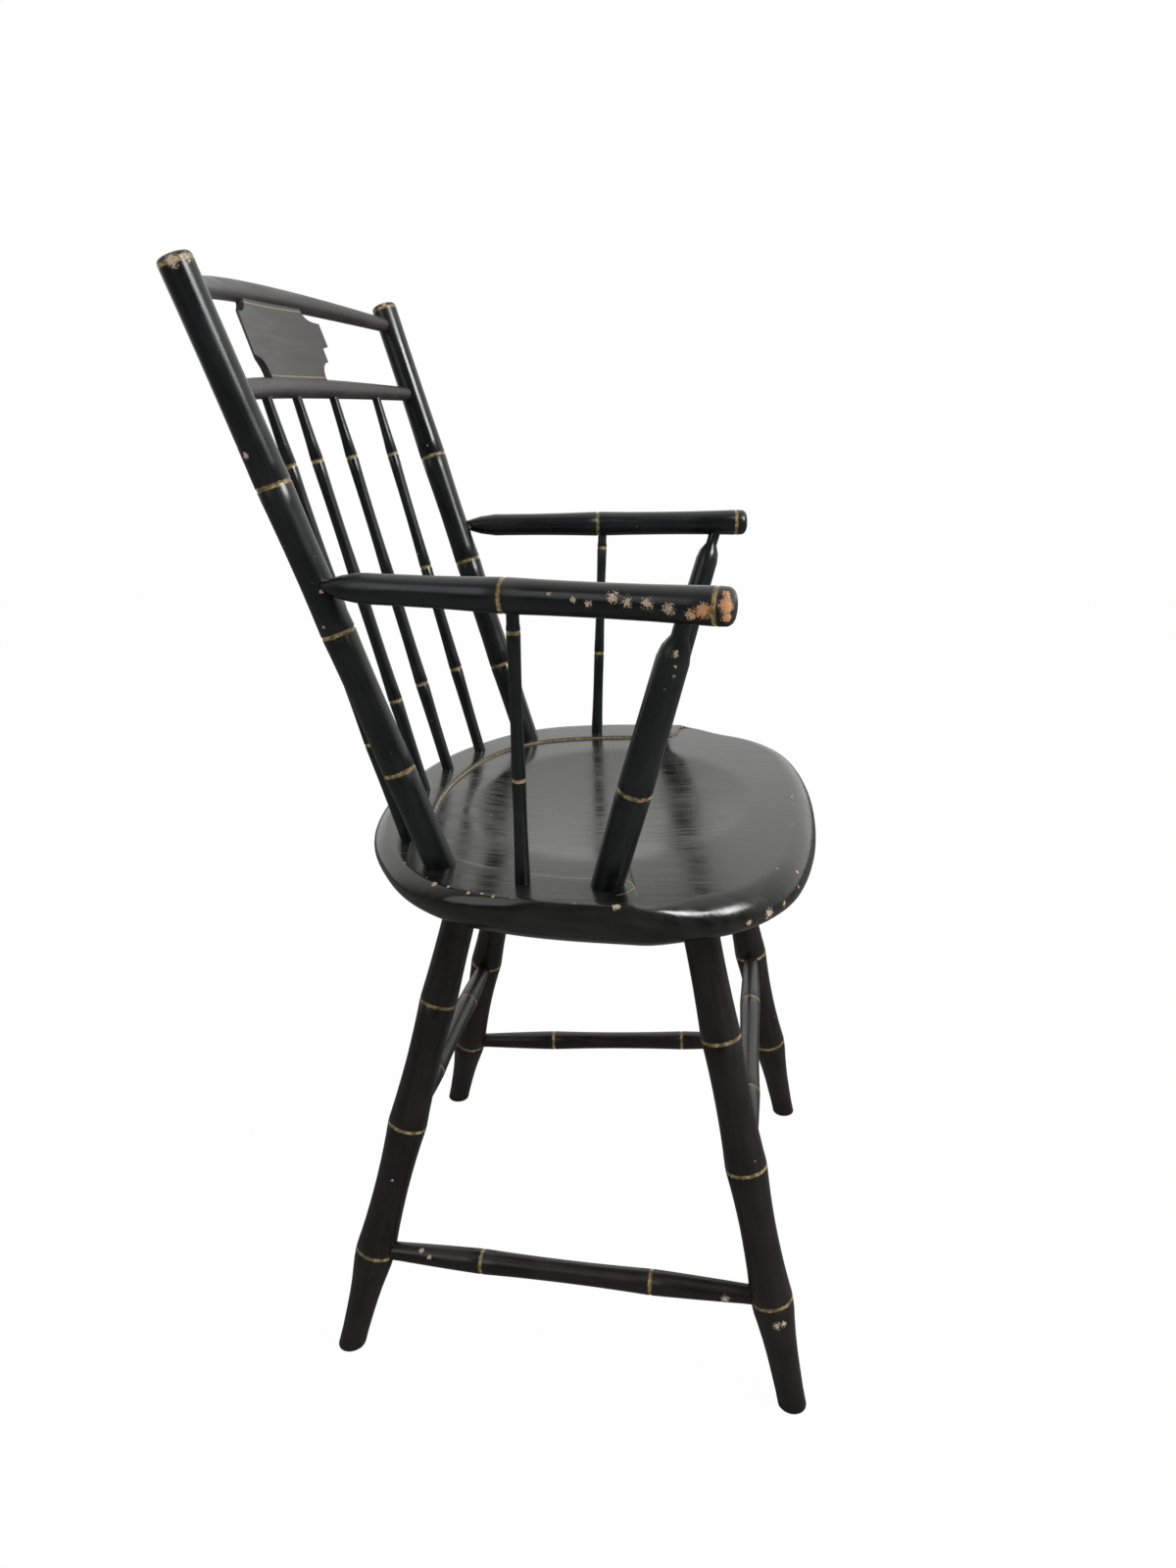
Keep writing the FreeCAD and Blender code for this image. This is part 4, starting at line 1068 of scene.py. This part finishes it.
def seatLoops():                  # every loop: from below, over the edge, to near the middle of the dish
    s = seatShape
    outline, gutter = seatColumns()
    count = len(outline)
    inward = inwardOf(outline)
    sunk = [i > s["gutterColumns"] for i in range(count)]
    loops = edgeLoops(outline, inward, sunk)
    rim = [entry[0] for entry in loops[-1]]
    inner = []
    for i in range(count):
        if i < len(gutter):
            inner.append(gutter[i])
        else:
            past = smoothShare(i, len(gutter) - 1, len(gutter) + s["sunkColumns"])
            inner.append(rim[i] + inward[i] * (s["sunkInset"] + s["sunkMore"] * past))
    flats = [Vector((inner[i].x, inner[i].y, rim[i].z)) for i in range(count)]
    reaches = [(flats[i] - rim[i]).length for i in range(count)]
    for share in s["rimShares"]:
        loop = []
        for i in range(count):
            edge = min(s["landing"], reaches[i] * s["landingShare"])
            p = rim[i].lerp(flats[i], share * (1 - edge / max(reaches[i], 1e-6)) / s["rimShares"][-1])
            level = saddleLevel(p) if sunk[i] else p.z
            gap = (flats[i] - p).length if not sunk[i] else 1.0
            loop.append((Vector((p.x, p.y, level)), gap, (p - rim[i]).length))
        loops.append(loop)
    for across, drop in s["lipSteps"]:
        loop = []
        for i in range(count):
            step = min(s["lip"], reaches[i] * s["lipShare"])
            p = Vector((inner[i].x, inner[i].y, 0)) + (rim[i] - flats[i]).normalized() * step * across
            level = saddleLevel(p)
            if not sunk[i]:
                level = -s["step"] * drop + (level + s["step"]) * drop
            gap = abs(across) * step if not sunk[i] else 1.0
            loop.append((Vector((p.x, p.y, level)), gap, reaches[i]))
        loops.append(loop)
    lip = [entry[0] for entry in loops[-1]]
    middle = Vector((0, s["dishMiddle"], 0))
    for k in range(1, s["innerLoops"]):
        share = (k / s["innerLoops"]) ** s["crowding"]
        loop = []
        for i in range(count):
            p = lip[i].lerp(middle, share)
            gap = s["lip"] + (p - lip[i]).length if not sunk[i] else 1.0
            loop.append((Vector((p.x, p.y, saddleLevel(p))), gap, 1.0))
        loops.append(loop)
    return loops


def saddleLevel(p):
    s = seatShape
    away = math.hypot(p.x / s["dishX"], (p.y - s["dishMiddle"]) / s["dishY"])
    inside = max(0.0, 1 - away * away)
    return -s["step"] - s["dish"] * inside


def wholeLoop(half):              # the mirrored other half is added in the same turning direction
    other = [(mirrored(p), gap, arris) for p, gap, arris in reversed(half[1:-1])]
    return half + other


def extrudeLoop(piece, places):
    bpy.ops.mesh.extrude_edges_move()
    shape = bmesh.from_edit_mesh(piece.data)
    fresh = [vertex for vertex in shape.verts if vertex.select]
    for vertex, place in zip(fresh, places):
        vertex.co = place
    bmesh.update_edit_mesh(piece.data)


def buildSeat(material):
    loops = [wholeLoop(loop) for loop in seatLoops()]
    count = len(loops[0])
    lift = Vector((0, chair["middleY"], chair["seatTop"]))
    selectNone()
    bpy.ops.mesh.primitive_circle_add(vertices=count, radius=seatShape["half"], fill_type="NOTHING")
    piece = bpy.context.object
    piece.name = "shaped_seat"
    for vertex, entry in zip(piece.data.vertices, loops[0]):
        vertex.co = entry[0] + lift
    bpy.ops.object.mode_set(mode="EDIT")
    bpy.ops.mesh.select_mode(type="EDGE")
    bpy.ops.mesh.select_all(action="SELECT")
    for loop in loops[1:]:
        extrudeLoop(piece, [entry[0] + lift for entry in loop])
    bpy.ops.mesh.edge_face_add()
    bpy.ops.mesh.poke()
    bpy.ops.object.mode_set(mode="OBJECT")
    selectRims()
    bpy.ops.mesh.edge_face_add()
    faceOutward()
    gaps = [entry[1] for loop in loops for entry in loop]
    arrises = [entry[2] for loop in loops for entry in loop]
    extra = len(piece.data.vertices) - len(gaps)
    layAttribute(piece, "gutterGap", gaps + [1.0] * extra)
    layAttribute(piece, "arrisGap", arrises + [1.0] * extra)
    smooth = piece.modifiers.new("smooth", "SUBSURF")
    smooth.levels = 1
    smooth.render_levels = 1
    bpy.ops.object.modifier_apply(modifier=smooth.name)
    finishPiece(piece, "seat", material, 45)


seatFinish = {
    "dark": (0.0050, 0.0055, 0.0047, 1.0), "light": (0.0172, 0.0174, 0.0142, 1.0), "gloss": 0.17,
    "streaks": (260.0, 16.0, 120.0), "relief": 0.00014,
    # the third number is the share of brown painted shade along the gutter's gilt line
    "half": 0.0006, "worn": -0.02, "paintedShade": 0.6, "bright": 0.4,
    "curlAt": (0.1902, -0.0722, 0.4505), "curlRadius": 0.0192, "curlEnd": (-0.082, -0.074),
    "chipScale": 60.0, "chipSize": 0.07, "chips": 0.05,
    "edgeReach": 0.004, "edgeScale": 90.0, "edgeChips": (0.61, 0.64),
    "woodScale": 160.0, "wood": (0.55, 0.75),
}


def gutterCurl(tree, world):      # how far a place is from the arc around an arm post's foot
    look = seatFinish
    apart = addNode(tree, "ShaderNodeSeparateXYZ")
    tree.links.new(world, apart.inputs[0])
    x, y, z = apart.outputs
    folded = addNode(tree, "ShaderNodeCombineXYZ")
    for socket, value in zip(folded.inputs, (mathOf(tree, "ABSOLUTE", x), y, z)):
        tree.links.new(value, socket)
    fromFoot = vectorOf(tree, "DISTANCE", folded.outputs[0], look["curlAt"]).outputs["Value"]
    curl = mathOf(tree, "ABSOLUTE", mathOf(tree, "SUBTRACT", fromFoot, look["curlRadius"]))
    return mathOf(tree, "ADD", curl, rampOf(tree, y, *look["curlEnd"], 0.0, 0.01))


def seatMaterial(places):
    look = seatFinish
    material, tree = newMaterial("seat_paint")
    world = objectPlace(tree)
    film = filmOf(tree, look, world, world, look["streaks"])
    gap = mathOf(tree, "MINIMUM", attributeOf(tree, "gutterGap"), gutterCurl(tree, world))
    line = useGroup(tree, "giltLine", Gap=gap, Place=world, Half=look["half"], Worn=look["worn"])
    colour = addGilt(tree, line, film["Colour"], look["paintedShade"], look["bright"])
    chip = useGroup(tree, "scatteredChips", Place=world, Scale=look["chipScale"], Size=look["chipSize"],
                    Share=look["chips"])["Chip"]
    nearEdge = rampOf(tree, attributeOf(tree, "arrisGap"), 0.0, look["edgeReach"], 1.0, 0.0)
    edgeNoise = noiseOf(tree, world, look["edgeScale"], 5.0, 0.7)
    edgeChip = rampOf(tree, mathOf(tree, "MULTIPLY", nearEdge, edgeNoise), *look["edgeChips"])
    chip = addMarks(tree, world, mathOf(tree, "MAXIMUM", chip, edgeChip), places)
    through = rampOf(tree, noiseOf(tree, world, look["woodScale"]), *look["wood"])
    finishWorn(tree, world, film, colour, chip, through, look["relief"])
    return material


railFinish = {
    "dark": (0.0265, 0.0248, 0.0232, 1.0), "light": (0.047, 0.0442, 0.0410, 1.0), "gloss": 0.42,
    "streaks": (14.0, 190.0, 190.0), "relief": 0.0002, "joint": (0.20, 0.150, 0.120, 1.0),
    "jointHalf": 0.0005, "jointHeights": (0.7990, 0.8508), "jointReach": 0.055,
}


def railMaterial():               # the joints between the board and the rails show as fine pale lines
    look = railFinish
    material, tree = newMaterial("rail_paint")
    world = objectPlace(tree)
    film = filmOf(tree, look, world, world, look["streaks"])
    apart = addNode(tree, "ShaderNodeSeparateXYZ")
    tree.links.new(world, apart.inputs[0])
    low, high = [mathOf(tree, "ABSOLUTE", mathOf(tree, "SUBTRACT", apart.outputs["Z"], height))
                 for height in look["jointHeights"]]
    past = mathOf(tree, "GREATER_THAN", mathOf(tree, "ABSOLUTE", apart.outputs["X"]), look["jointReach"])
    gap = mathOf(tree, "ADD", mathOf(tree, "MINIMUM", low, high), mathOf(tree, "MULTIPLY", past, 0.01))
    line = useGroup(tree, "giltLine", Gap=gap, Place=world, Half=look["jointHalf"], Worn=0.0)
    colour = mixOf(tree, line["Gilt"], film["Colour"], look["joint"])
    finishSurface(tree, colour, film["Rough"], film["Height"], look["relief"])
    return material


def main():
    placeCamera()
    buildStudio()
    buildGroups()
    bpy.context.scene.view_settings.view_transform = "Standard"
    print("camera, lamps and floor are in place")
    frameFinish = rodMaterial("frame_paint", frameWear)
    legFinish = rodMaterial("leg_paint", legWear)
    railPaint = railMaterial()
    print("finishes are made")
    buildBackPosts(frameFinish)
    buildBackSpindles(frameFinish)
    buildArms(frameFinish)
    buildArmPosts(frameFinish)
    buildArmSpindles(frameFinish)
    buildArmPins(frameFinish)
    buildLegs(legFinish)
    buildStretchers(legFinish)
    print("turned rods are in place")
    buildRail("lower_rail", chair["lowerRail"], railShape["lowerRise"], railPaint)
    buildRail("crest_rail", chair["crestRail"], railShape["crestRise"], railPaint)
    print("bent rails are in place")
    buildBoard(railPaint)
    buildSeat(seatMaterial(seatWear))
    print("seat is in place")


main()
